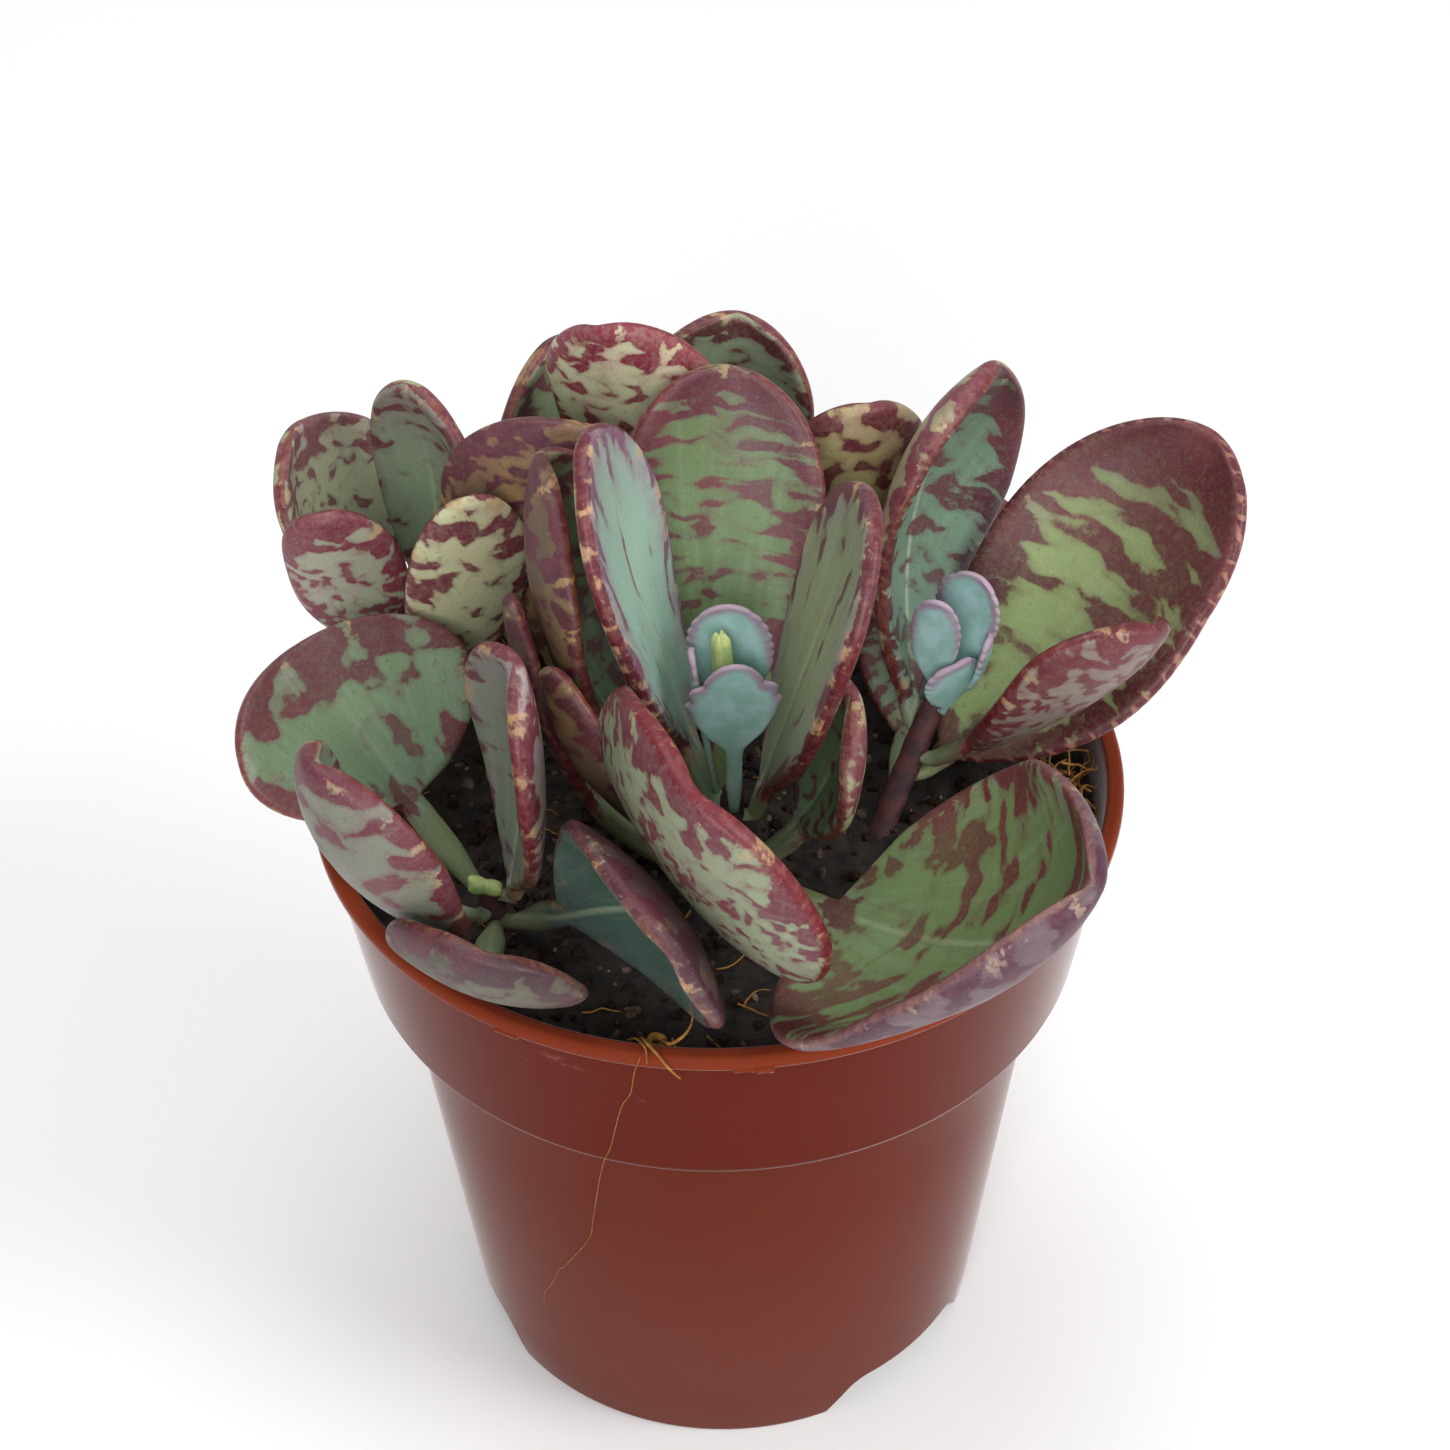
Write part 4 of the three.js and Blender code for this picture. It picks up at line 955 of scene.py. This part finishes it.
def pot_profile():
    """Half section of the pot as radius and height, up the outside and down the inside. The tenths added
    here and there are the small slopes of a moulded edge."""
    lip_foot = POT_HEIGHT - LIP_HEIGHT
    collar_top = LIP_RADIUS - LIP_OVERHANG
    return rounded([
        (0, 0),
        (CENTRE_DISC_RADIUS, 0),
        (CENTRE_DISC_RADIUS + 2.2, FLOOR_LIFT),
        (FOOT_RADIUS - FOOT_RIM_WIDTH + 0.6, FLOOR_LIFT),
        (FOOT_RADIUS - FOOT_RIM_WIDTH, 0),
        (FOOT_RADIUS, 0),
        (body_radius(NOTCH_HEIGHT + 1), NOTCH_HEIGHT + 1),
        (body_radius(MOULD_LINE_HEIGHT) - MOULD_LINE_DEPTH, MOULD_LINE_HEIGHT - 0.2),
        (body_radius(MOULD_LINE_HEIGHT), MOULD_LINE_HEIGHT + 0.3),
        (BODY_TOP_RADIUS, COLLAR_FOOT_HEIGHT - LEDGE_HEIGHT),
        (COLLAR_FOOT_RADIUS - 0.6, COLLAR_FOOT_HEIGHT - LEDGE_HEIGHT * 0.6),
        (COLLAR_FOOT_RADIUS, COLLAR_FOOT_HEIGHT),
        (collar_top, lip_foot),
        (LIP_RADIUS, lip_foot + 0.4),
        (LIP_RADIUS, POT_HEIGHT - 0.6),
        (LIP_RADIUS - 0.5, POT_HEIGHT),
        (collar_top - POT_WALL + 0.3, POT_HEIGHT),
        (collar_top - POT_WALL, lip_foot),
        (COLLAR_FOOT_RADIUS - POT_WALL, COLLAR_FOOT_HEIGHT + 0.4),
        (BODY_TOP_RADIUS - POT_WALL, COLLAR_FOOT_HEIGHT - LEDGE_HEIGHT + 0.6),
        (FOOT_RADIUS - 0.4, FLOOR_LIFT + FLOOR_THICKNESS),
        (CENTRE_DISC_RADIUS + 1.4, FLOOR_LIFT + FLOOR_THICKNESS),
        (CENTRE_DISC_RADIUS - 0.6, FLOOR_THICKNESS),
        (0, FLOOR_THICKNESS),
    ], CORNER_REACH)


def cut(piece, cutter):
    """Takes the cutter's shape out of a piece and removes the cutter."""
    bpy.ops.object.select_all(action="DESELECT")
    bpy.context.view_layer.objects.active = piece
    modifier = piece.modifiers.new("cut", "BOOLEAN")
    modifier.operation = "DIFFERENCE"
    modifier.object = cutter
    modifier.solver = "EXACT"
    bpy.ops.object.modifier_apply(modifier=modifier.name)
    bpy.data.objects.remove(cutter)


def pot():
    """The pot is its profile spun about Z, with notches cut in its foot and drain holes in its floor."""
    profile = pot_profile()
    bpy.ops.object.select_all(action="DESELECT")
    bpy.ops.mesh.primitive_circle_add(vertices=len(profile), radius=1)
    piece = piece_from("pot_shell")
    for vertex, (radius, height) in zip(piece.data.vertices, profile):
        vertex.co = (radius * MM, 0, height * MM)
    bpy.ops.object.mode_set(mode="EDIT")
    bpy.ops.mesh.select_mode(type="EDGE")
    bpy.ops.mesh.select_all(action="DESELECT")
    bpy.ops.object.mode_set(mode="OBJECT")
    ends = {0, len(profile) - 1}
    for edge in piece.data.edges:
        edge.select = set(edge.vertices) == ends
    bpy.ops.object.mode_set(mode="EDIT")
    bpy.ops.mesh.delete(type="EDGE")
    bpy.ops.mesh.select_all(action="SELECT")
    bpy.ops.mesh.spin(steps=POT_SIDES, angle=2 * math.pi, center=(0, 0, 0), axis=(0, 0, 1))
    bpy.ops.mesh.select_all(action="SELECT")
    bpy.ops.mesh.remove_doubles(threshold=1e-5)
    bpy.ops.mesh.normals_make_consistent(inside=False)
    bpy.ops.object.mode_set(mode="OBJECT")
    for middle in NOTCH_MIDDLES:
        cut(piece, notch_cutter(middle))
    for i in range(DRAIN_HOLES):
        turn = 2 * math.pi * i / DRAIN_HOLES
        bpy.ops.mesh.primitive_cylinder_add(
            vertices=24, radius=DRAIN_HOLE_RADIUS * MM, depth=6 * MM,
            location=(DRAIN_RING_RADIUS * math.cos(turn) * MM, DRAIN_RING_RADIUS * math.sin(turn) * MM,
                      (FLOOR_LIFT + 1) * MM))
        cut(piece, bpy.context.object)
    bpy.ops.object.select_all(action="DESELECT")
    piece.select_set(True)
    bpy.ops.object.shade_smooth_by_angle(angle=math.radians(SMOOTH_ANGLE))
    return piece


def notch_cutter(middle):
    """A block across the foot's rim, narrower and rounded at its top."""
    turn = math.radians(middle)
    place = Vector((math.cos(turn), math.sin(turn), 0)) * (FOOT_RADIUS - 1) * MM
    bpy.ops.object.select_all(action="DESELECT")
    bpy.ops.mesh.primitive_cube_add(size=1)
    cutter = bpy.context.object
    half_foot = FOOT_RADIUS * math.sin(math.radians(NOTCH_SPAN / 2))
    half_top = FOOT_RADIUS * math.sin(math.radians(NOTCH_TOP_SPAN / 2))
    for corner in cutter.data.vertices:
        top = corner.co.z > 0
        corner.co.x *= NOTCH_DEPTH * MM
        corner.co.y *= 2 * (half_top if top else half_foot + NOTCH_FLARE) * MM
        corner.co.z = (NOTCH_HEIGHT if top else -2) * MM
    bpy.ops.object.mode_set(mode="EDIT")
    bpy.ops.mesh.select_mode(type="EDGE")
    bpy.ops.object.mode_set(mode="OBJECT")
    for edge in cutter.data.edges:
        ends = [cutter.data.vertices[i].co for i in edge.vertices]
        edge.select = all(end.z > 0 for end in ends) and abs(ends[0].y - ends[1].y) < 1e-6
    bpy.ops.object.mode_set(mode="EDIT")
    bpy.ops.mesh.bevel(offset=NOTCH_ROUNDING * MM, segments=5, affect="EDGES")
    bpy.ops.object.mode_set(mode="OBJECT")
    cutter.rotation_euler = (0, 0, turn)
    cutter.location = place
    bpy.ops.object.transform_apply(location=True, rotation=True, scale=True)
    return cutter


def strand(name, points, radii, sides):
    """A root, hair or bead along a smooth line through the points, in millimetres."""
    points = [Vector(point) for point in points]
    fine, sizes = [], []
    for i in range(len(points) - 1):
        before, start = points[max(i - 1, 0)], points[i]
        end, after = points[i + 1], points[min(i + 2, len(points) - 1)]
        for step in range(4):
            part = step / 4
            bowed = (before * 2 - start * 5 + end * 4 - after) * part ** 2
            twisted = (start * 3 - before - end * 3 + after) * part ** 3
            fine.append((start * 2 + (end - before) * part + bowed + twisted) / 2)
            sizes.append(radii[0] + (radii[1] - radii[0]) * (i + part) / (len(points) - 1))
    fine.append(points[-1])
    sizes.append(radii[1])
    rows = []
    for i, (place, size) in enumerate(zip(fine, sizes)):
        run = (fine[min(i + 1, len(fine) - 1)] - fine[max(i - 1, 0)]).normalized()
        side = run.cross(Vector((0.3, 0.5, 0.8))).normalized()
        other = run.cross(side)
        size *= 0.02 if i in (0, len(fine) - 1) else 1
        rows.append([place + (side * math.cos(turn) + other * math.sin(turn)) * size
                     for turn in (2 * math.pi * step / sides for step in range(sides))])
    return skin(name, np.array([[tuple(point) for point in row] for row in rows]))[0]


def lip_tabs():
    """Small moulding tabs under the lip."""
    made = []
    for start, end, size in TAB_PLACES:
        turns = [math.radians(start + (end - start) * step / 6) for step in range(7)]
        radius = LIP_RADIUS - TAB_INSET
        height = POT_HEIGHT - LIP_HEIGHT + TAB_LIFT
        points = [(radius * math.cos(turn), radius * math.sin(turn), height) for turn in turns]
        made.append(strand("tab", points, (size, size), 10))
    return join("pot_lip_tabs", made)


# Peat

def soil_height(x, y):
    """The filling's gently mounded level."""
    mounds = math.sin(x / 4.3 + 1.1) * math.cos(y / 5.1) + 0.6 * math.sin((x + 2 * y) / 7.7)
    return SOIL_LEVEL + SOIL_BUMP * mounds / 1.6


def wall_radius(height):
    """How far out the filling may reach at a height in the collar."""
    collar, top = COLLAR_FOOT_RADIUS - POT_WALL, LIP_RADIUS - LIP_OVERHANG - POT_WALL
    part = (height - COLLAR_FOOT_HEIGHT) / (POT_HEIGHT - LIP_HEIGHT - COLLAR_FOOT_HEIGHT)
    return collar + (top - collar) * part - GAP - 0.1


def crumb_height(x, y):
    """Fine rise and fall of the crumbled peat."""
    place = Vector((x, y, 3.0))
    return 0.7 * noise.noise(place * 0.45) + 0.45 * noise.noise(place * 1.3) + 0.25 * noise.noise(place * 3.1)


def soil():
    """Peat filling: a crumbled top, and plain sides and underside inside the pot."""
    sides, top_rings = 200, 84
    turns = np.arange(sides) * 2 * math.pi / sides
    rows = []
    for ring in range(top_rings + 1):
        radius = wall_radius(SOIL_LEVEL - SOIL_BUMP) * (ring / top_rings) ** 0.8
        xs, ys = radius * np.cos(turns), radius * np.sin(turns)
        rows.append([(x, y, soil_height(x, y) + crumb_height(x, y)) for x, y in zip(xs, ys)])
    for radius, height in [
            (wall_radius(COLLAR_FOOT_HEIGHT + 1.4), COLLAR_FOOT_HEIGHT + 1.4),
            (BODY_TOP_RADIUS - POT_WALL - GAP - 0.3, COLLAR_FOOT_HEIGHT - LEDGE_HEIGHT + 0.8),
            (FOOT_RADIUS - 1.6, FLOOR_LIFT + FLOOR_THICKNESS + GAP),
            (CENTRE_DISC_RADIUS, FLOOR_LIFT + FLOOR_THICKNESS + GAP),
            (CENTRE_DISC_RADIUS - 1.2, FLOOR_THICKNESS + GAP),
            (0, FLOOR_THICKNESS + GAP)]:
        rows.append([(radius * math.cos(turn), radius * math.sin(turn), height) for turn in turns])
    return skin("soil_filling", np.array(rows))[0]


ANY_HEADING = (0, 6.28)
FIBRE_STEP = 1.3
FIBRE_RADII = (0.16, 0.07)


def scatter(name, count, sizes, seed, reach, flatness=0.7):
    """Crumbs of peat or grit lying on the filling, each its own uneven lump."""
    draw = random.Random(seed)
    bpy.ops.object.select_all(action="DESELECT")
    bpy.ops.mesh.primitive_uv_sphere_add(segments=8, ring_count=5, radius=1)
    first = piece_from(name)
    made = []
    for number in range(count):
        lump = first.copy()
        lump.data = first.data.copy()
        bpy.context.scene.collection.objects.link(lump)
        radius, turn = reach * math.sqrt(draw.random()), draw.uniform(0, 2 * math.pi)
        x, y, size = radius * math.cos(turn), radius * math.sin(turn), draw.uniform(*sizes)
        spin = Quaternion((draw.gauss(0, 1), draw.gauss(0, 1), draw.gauss(0, 1)), draw.uniform(0, 3))
        centre = Vector((x, y, soil_height(x, y) + crumb_height(x, y) + 0.1 * size))
        for vertex in lump.data.vertices:
            rough = 1 + 0.5 * noise.noise(vertex.co * 1.3 + Vector((number, 0, 0)))
            point = vertex.co * rough
            point = spin @ Vector((point.x, point.y * 0.8, point.z * flatness)) * size
            vertex.co = (centre + point) * MM
        made.append(lump)
    bpy.data.objects.remove(first)
    return join(name, made)


def fibres(name, count, seed, reach):
    """Short dry fibres lying over the peat."""
    draw = random.Random(seed)
    made = []
    for _ in range(count):
        radius = reach * math.sqrt(draw.random())
        turn, heading = draw.uniform(*ANY_HEADING), draw.uniform(*ANY_HEADING)
        x, y = radius * math.cos(turn), radius * math.sin(turn)
        points = []
        for _ in range(5):
            points.append((x, y, soil_height(x, y) + crumb_height(x, y) + 0.25 + 0.3 * draw.random()))
            heading += draw.uniform(-0.7, 0.7)
            x, y = x + FIBRE_STEP * math.cos(heading), y + FIBRE_STEP * math.sin(heading)
        made.append(strand(name, points, FIBRE_RADII, 5))
    return join(name, made)


# Roots: points in millimetres, and radii at the two ends
ROOT_HAIR = [
    (-9.6, -51.9, 92.75), (-10.4, -53.05, 91.2), (-10.6, -52.3, 89.2), (-11.1, -50.4, 84.6),
    (-12.1, -49.0, 81.3), (-12.8, -48.2, 78), (-13.3, -47.6, 75), (-14.0, -46.8, 71), (-14.8, -45.9, 68),
    (-15.4, -43.4, 63), (-15.9, -40.6, 58), (-17.1, -38.1, 47.7), (-17.8, -37.2, 43), (-21.1, -34.2, 34.4),
    (-22.3, -33.0, 31.8), (-23.2, -31.9, 28.2), (-24.6, -30.2, 23.8), (-24.9, -29.4, 20.6),
]
HAIR_RADII = (0.065, 0.05)
RIM_ROOTS = [
    ([(-9.8, -46.6, 88.5), (-9.6, -47.6, 91.2), (-9.1, -49.4, 92.5), (-8.4, -50.8, 92.95),
      (-7.6, -52.0, 92.95), (-6.7, -53.0, 92.3), (-5.8, -53.2, 91.1), (-4.9, -53.2, 90.0)], (0.26, 0.12)),
    ([(-7.6, -46.0, 88.4), (-6.9, -48.0, 91.0), (-6.2, -49.9, 92.6), (-5.2, -49.7, 93.0), (-4.2, -49.1, 93.6),
      (-3.6, -48.5, 94.5), (-3.4, -48.0, 95.4)], (0.3, 0.12)),
    ([(-11.5, -45.5, 88.6), (-10.4, -47.4, 91.0), (-9.6, -49.6, 92.6), (-9.0, -51.2, 92.9),
      (-8.9, -52.9, 92.2)], (0.2, 0.08)),
]
KNOT_CENTRE = (-7.7, -47.6, 90.6)
KNOT_SIZE = 1.3
KNOT_RADII = (0.2, 0.12)
WALL_ROOTS_CENTRE = (46.2, -1.5, 88.6)
WALL_ROOTS_SPREAD = (1.0, 4.2, 0.9)
WALL_ROOT_RADII = (0.22, 0.1)


def knot_root(draw):
    """One loop of the knot of roots behind the front rim."""
    x, y, z = KNOT_CENTRE
    lean = Vector((draw.gauss(0, 1), draw.gauss(0, 1), draw.gauss(0, 0.4)))
    turns = [0.9 * step + draw.random() for step in range(7)]
    points = []
    for turn in turns:
        reach = 0.6 + 0.3 * draw.random()
        points.append((x + KNOT_SIZE * math.cos(turn) * reach + 0.2 * lean.x,
                       y + 0.7 * KNOT_SIZE * math.sin(turn) + 0.2 * lean.y,
                       z + 0.4 * lean.z * math.sin(turn)))
    return strand("root", points, KNOT_RADII, 5)


def wall_root(draw):
    """One root of the tangle inside the pot's right wall."""
    x, y, z = (middle + draw.gauss(0, spread) for middle, spread in zip(WALL_ROOTS_CENTRE, WALL_ROOTS_SPREAD))
    heading = draw.uniform(*ANY_HEADING)
    points = []
    for _ in range(6):
        inside = min(1, (wall_radius(min(z, 90)) - 0.3) / math.hypot(x, y))
        points.append((x * inside, y * inside, max(z, soil_height(x, y) + 0.5)))
        heading += draw.uniform(-0.9, 0.9)
        x, y = x + 1.2 * math.cos(heading), y + 1.6 * math.sin(heading)
        z += draw.uniform(-0.7, 0.6)
    return strand("root", points, WALL_ROOT_RADII, 5)


def roots():
    """The fine root hair outside the pot, the roots over the front rim and the tangle at the right wall."""
    draw = random.Random(12)
    made = [strand("root", ROOT_HAIR, HAIR_RADII, 5)]
    made += [strand("root", points, radii, 7) for points, radii in RIM_ROOTS]
    made += [knot_root(draw) for _ in range(9)]
    made += [wall_root(draw) for _ in range(26)]
    return join("root_fibres", made)


# Stems

def stem(shoot):
    """A short stem from its foot in the peat to its crown, gently swelling and narrowing along its length."""
    low, crown = on_axis(shoot, SOIL_LEVEL), SHOOTS[shoot][1][2]
    foot = Vector((low.x * ROOT_DRAW, low.y * ROOT_DRAW, STEM_ROOT))
    sides, rings = 20, 30
    turns = np.arange(sides) * 2 * math.pi / sides
    rows = []
    for i in range(rings + 1):
        part = i / rings
        height = STEM_ROOT + (crown - STEM_ROOT) * part
        under = SOIL_LEVEL - 1
        place = on_axis(shoot, height) if height > under else foot.lerp(
            on_axis(shoot, under), (height - STEM_ROOT) / (under - STEM_ROOT))
        radius = STEM_RADIUS + (STEM_TIP_RADIUS - STEM_RADIUS) * max(0, (height - crown + 4) / 4)
        radius *= 0.001 if i in (0, rings) else 1
        radius *= 1 + 0.04 * math.sin(height * 2.2)
        rows.append([(place.x + radius * math.cos(turn), place.y + radius * math.sin(turn), place.z)
                     for turn in turns])
    return skin("stem_" + shoot + "_core", np.array(rows))[0]


def young_leaf(values, seed):
    """One small young leaf."""
    leaf = dict(zip(YOUNG_VALUES, values))
    leaf.update(neck=0, foot=YOUNG_FOOT, late=0)
    return leaf_piece("young", leaf, YOUNG_THICKNESS, True, seed)


def bud():
    """A slender stalk that ends in four closed tips."""
    foot, top = Vector(BUD_FOOT), Vector(BUD_TOP)
    sides, rings = 32, 44
    rows = []
    for i in range(rings + 1):
        part = i / rings
        body = min(1, max(0, (part - 0.55) / 0.12))
        radius = BUD_STALK_RADIUS + (BUD_RADIUS - BUD_STALK_RADIUS) * body * body * (3 - 2 * body)
        radius *= 1 - 0.1 * max(0, part - 0.8) / 0.2
        row = []
        for side in range(sides):
            turn = 2 * math.pi * side / sides
            lobe = abs(math.cos(2 * turn + 0.6))
            size = radius * (1 - 0.22 * body * (1 - lobe) ** 2)
            height = part
            if i == rings:
                size, height = 0, 0.965
            elif i > rings - 3:
                size *= 0.5 if i == rings - 1 else 0.92
                height = 0.985 if i == rings - 1 else part
            height -= 0.045 * max(0, part - 0.9) / 0.1 * (1 - lobe) * (i < rings)
            place = foot.lerp(top, height)
            row.append((place.x + size * math.cos(turn), place.y + size * math.sin(turn), place.z))
        rows.append(row)
    rows[0] = [tuple(foot)] * sides
    return skin("centre_bud", np.array(rows))[0]


def stub():
    """The pale cut stub on the left crown, knobbed at its outer end."""
    left, right = (Vector(end) for end in STUB_ENDS)
    sides, rings = 24, 24
    rows = []
    for i in range(rings + 1):
        part = i / rings
        place = left.lerp(right, part)
        radius = STUB_RADII[0] + (STUB_RADII[1] - STUB_RADII[0]) * part
        radius *= 1 - 0.16 * math.exp(-((part - 0.52) / 0.1) ** 2)
        radius *= math.sqrt(max(0, 1 - (2 * part - 1) ** 8))
        rows.append([(place.x + 0.15 * radius * math.sin(3 * turn), place.y + radius * math.cos(turn),
                      place.z + radius * math.sin(turn)) for turn in np.arange(sides) * 2 * math.pi / sides])
    return skin("left_stub", np.array(rows))[0]


def crown_pair(shoot):
    """Values of the two closed young leaves on a hidden crown."""
    height = SHOOTS[shoot][1][2] - 1
    for heading in YOUNG_PAIRS[shoot]:
        yield (shoot, height, heading, *CLOSED_LEAF)


# Scene

AIM_HEIGHT = 0.0987
CAMERA_DISTANCE = 0.44125
CAMERA_TILT = 41
CAMERA_ROLL = 0.95
SENSOR_WIDTH = 36
LIGHT_AIM_HEIGHT = 0.1
ROOM_STRENGTH = 0.55
FLOOR_SIDE = 6
FLOOR_COLOR = (0.85, 0.85, 0.85, 1)

# In pixels of the square picture
PICTURE_SIDE = 1450
FOCAL_LENGTH = 3440
SHIFT_ACROSS = 8.25
SHIFT_UP = 2.9


def camera():
    """Looks down on the plant, with the small shift and roll of the picture's framing."""
    aim, tilt = Vector((0, 0, AIM_HEIGHT)), math.radians(CAMERA_TILT)
    place = aim + Vector((0, -math.cos(tilt), math.sin(tilt))) * CAMERA_DISTANCE
    data = bpy.data.cameras.new("camera")
    data.sensor_width = SENSOR_WIDTH
    data.lens = FOCAL_LENGTH * SENSOR_WIDTH / PICTURE_SIDE
    data.shift_x = SHIFT_ACROSS / PICTURE_SIDE
    data.shift_y = SHIFT_UP / PICTURE_SIDE
    made = bpy.data.objects.new("camera", data)
    bpy.context.scene.collection.objects.link(made)
    look = (aim - place).to_track_quat("-Z", "Y")
    made.rotation_mode = "QUATERNION"
    made.rotation_quaternion = look @ Quaternion((0, 0, 1), -math.radians(CAMERA_ROLL))
    made.location = place
    bpy.context.scene.camera = made


def soft_light(name, place, size, power):
    """A round soft light in metres and watts, aimed at the middle of the plant."""
    data = bpy.data.lights.new(name, "AREA")
    data.shape = "DISK"
    data.size = size
    data.energy = power
    made = bpy.data.objects.new(name, data)
    bpy.context.scene.collection.objects.link(made)
    made.location = place
    made.rotation_mode = "QUATERNION"
    made.rotation_quaternion = (Vector((0, 0, LIGHT_AIM_HEIGHT)) - Vector(place)).to_track_quat("-Z", "Y")


def surroundings():
    """Pale even room light, a plain pale floor, three soft lights and the camera."""
    world = bpy.data.worlds.new("pale_room")
    world.use_nodes = True
    world.node_tree.nodes["Background"].inputs[0].default_value = (1, 1, 1, 1)
    world.node_tree.nodes["Background"].inputs[1].default_value = ROOM_STRENGTH
    bpy.context.scene.world = world
    bpy.context.scene.view_settings.view_transform = "Standard"
    bpy.ops.object.select_all(action="DESELECT")
    bpy.ops.mesh.primitive_plane_add(size=FLOOR_SIDE, location=(0, 0, 0))
    floor = piece_from("floor")
    floor_finish = new_material("pale_floor")
    Tree(floor_finish.node_tree).finish(FLOOR_COLOR, 0.95, None, Specular_IOR_Level=0.1)
    floor.data.materials.append(floor_finish)
    soft_light("light_right", (0.85, -0.35, 0.8), size=0.6, power=7)
    soft_light("light_front", (-0.1, -1.0, 0.6), size=0.6, power=7.2)
    soft_light("light_above", (-0.1, 0.3, 1.1), size=0.7, power=4.5)
    camera()


# Making

FIRST_LEAF_SEED = 100
MARKING_SEED_STEP = 3.7
YOUNG_SEED_STEP = 7

markings = markings_group()
waxy = waxy_group()

for number, (name, values) in enumerate(LEAVES.items()):
    leaf = dict(zip(LEAF_VALUES, values))
    leaf.update(foot=BROAD_FOOT.get(name, BLADE_FOOT), tip=BLADE_TIP, lobes=0, late=LATE_CURL.get(name, 0))
    blade = leaf_piece(name + "_blade", leaf, LEAF_THICKNESS, False, FIRST_LEAF_SEED + number)
    leaf_finish = leaf_material(name, leaf, look_of(name), markings, waxy, MARKING_SEED_STEP * number)
    finish_piece(blade, "leaf", leaf_finish, name)

young_finish = young_material()
stem_finish = plain_material("stem_skin", (84, 40, 42), (50, 26, 30), 420, 0.6, 0.5)
bud_finish = plain_material("bud_skin", (190, 202, 128), (160, 184, 116), 400, 0.5, 0.1)
for shoot in SHOOTS:
    finish_piece(stem(shoot), "stem", stem_finish, "stem_" + shoot)
    young = [values for values in YOUNG_LEAVES if values[0] == shoot]
    young += list(crown_pair(shoot)) if shoot in YOUNG_PAIRS else []
    if young:
        made = [young_leaf(values, YOUNG_SEED_STEP * number) for number, values in enumerate(young)]
        finish_piece(join("young_leaves_" + shoot, made), "stem", young_finish)
finish_piece(bud(), "stem", bud_finish)
finish_piece(stub(), "stem", bud_finish)

pot_finish = pot_material()
finish_piece(pot(), "pot_plastic", pot_finish, "pot")
finish_piece(lip_tabs(), "pot_plastic", pot_finish)

peat_finish = plain_material("peat", (44, 34, 28), (20, 15, 13), 420, 0.95, 1.0)
crumb_finish = dry_material("peat_crumbs", (52, 38, 30), (28, 21, 18), 500)
dust_finish = dry_material("dusty_crumbs", (98, 82, 74), (66, 52, 44), 600)
grit_finish = dry_material("pale_grit", (128, 112, 92), (92, 78, 64), 700)
root_finish = dry_material("dry_roots", (176, 128, 66), (138, 96, 50), 900)
finish_piece(soil(), "peat", peat_finish, "soil")
finish_piece(scatter("peat_crumbs", 620, (0.35, 1.3), seed=5, reach=46), "peat", crumb_finish)
finish_piece(scatter("dusty_crumbs", 260, (0.25, 0.9), seed=15, reach=46.5, flatness=0.6), "peat",
             dust_finish)
finish_piece(scatter("pale_grit", 90, (0.2, 0.7), seed=6, reach=46, flatness=0.5), "peat", grit_finish)
finish_piece(fibres("dry_fibres", 60, seed=8, reach=45), "peat", root_finish)
finish_piece(roots(), "peat", root_finish)

surroundings()
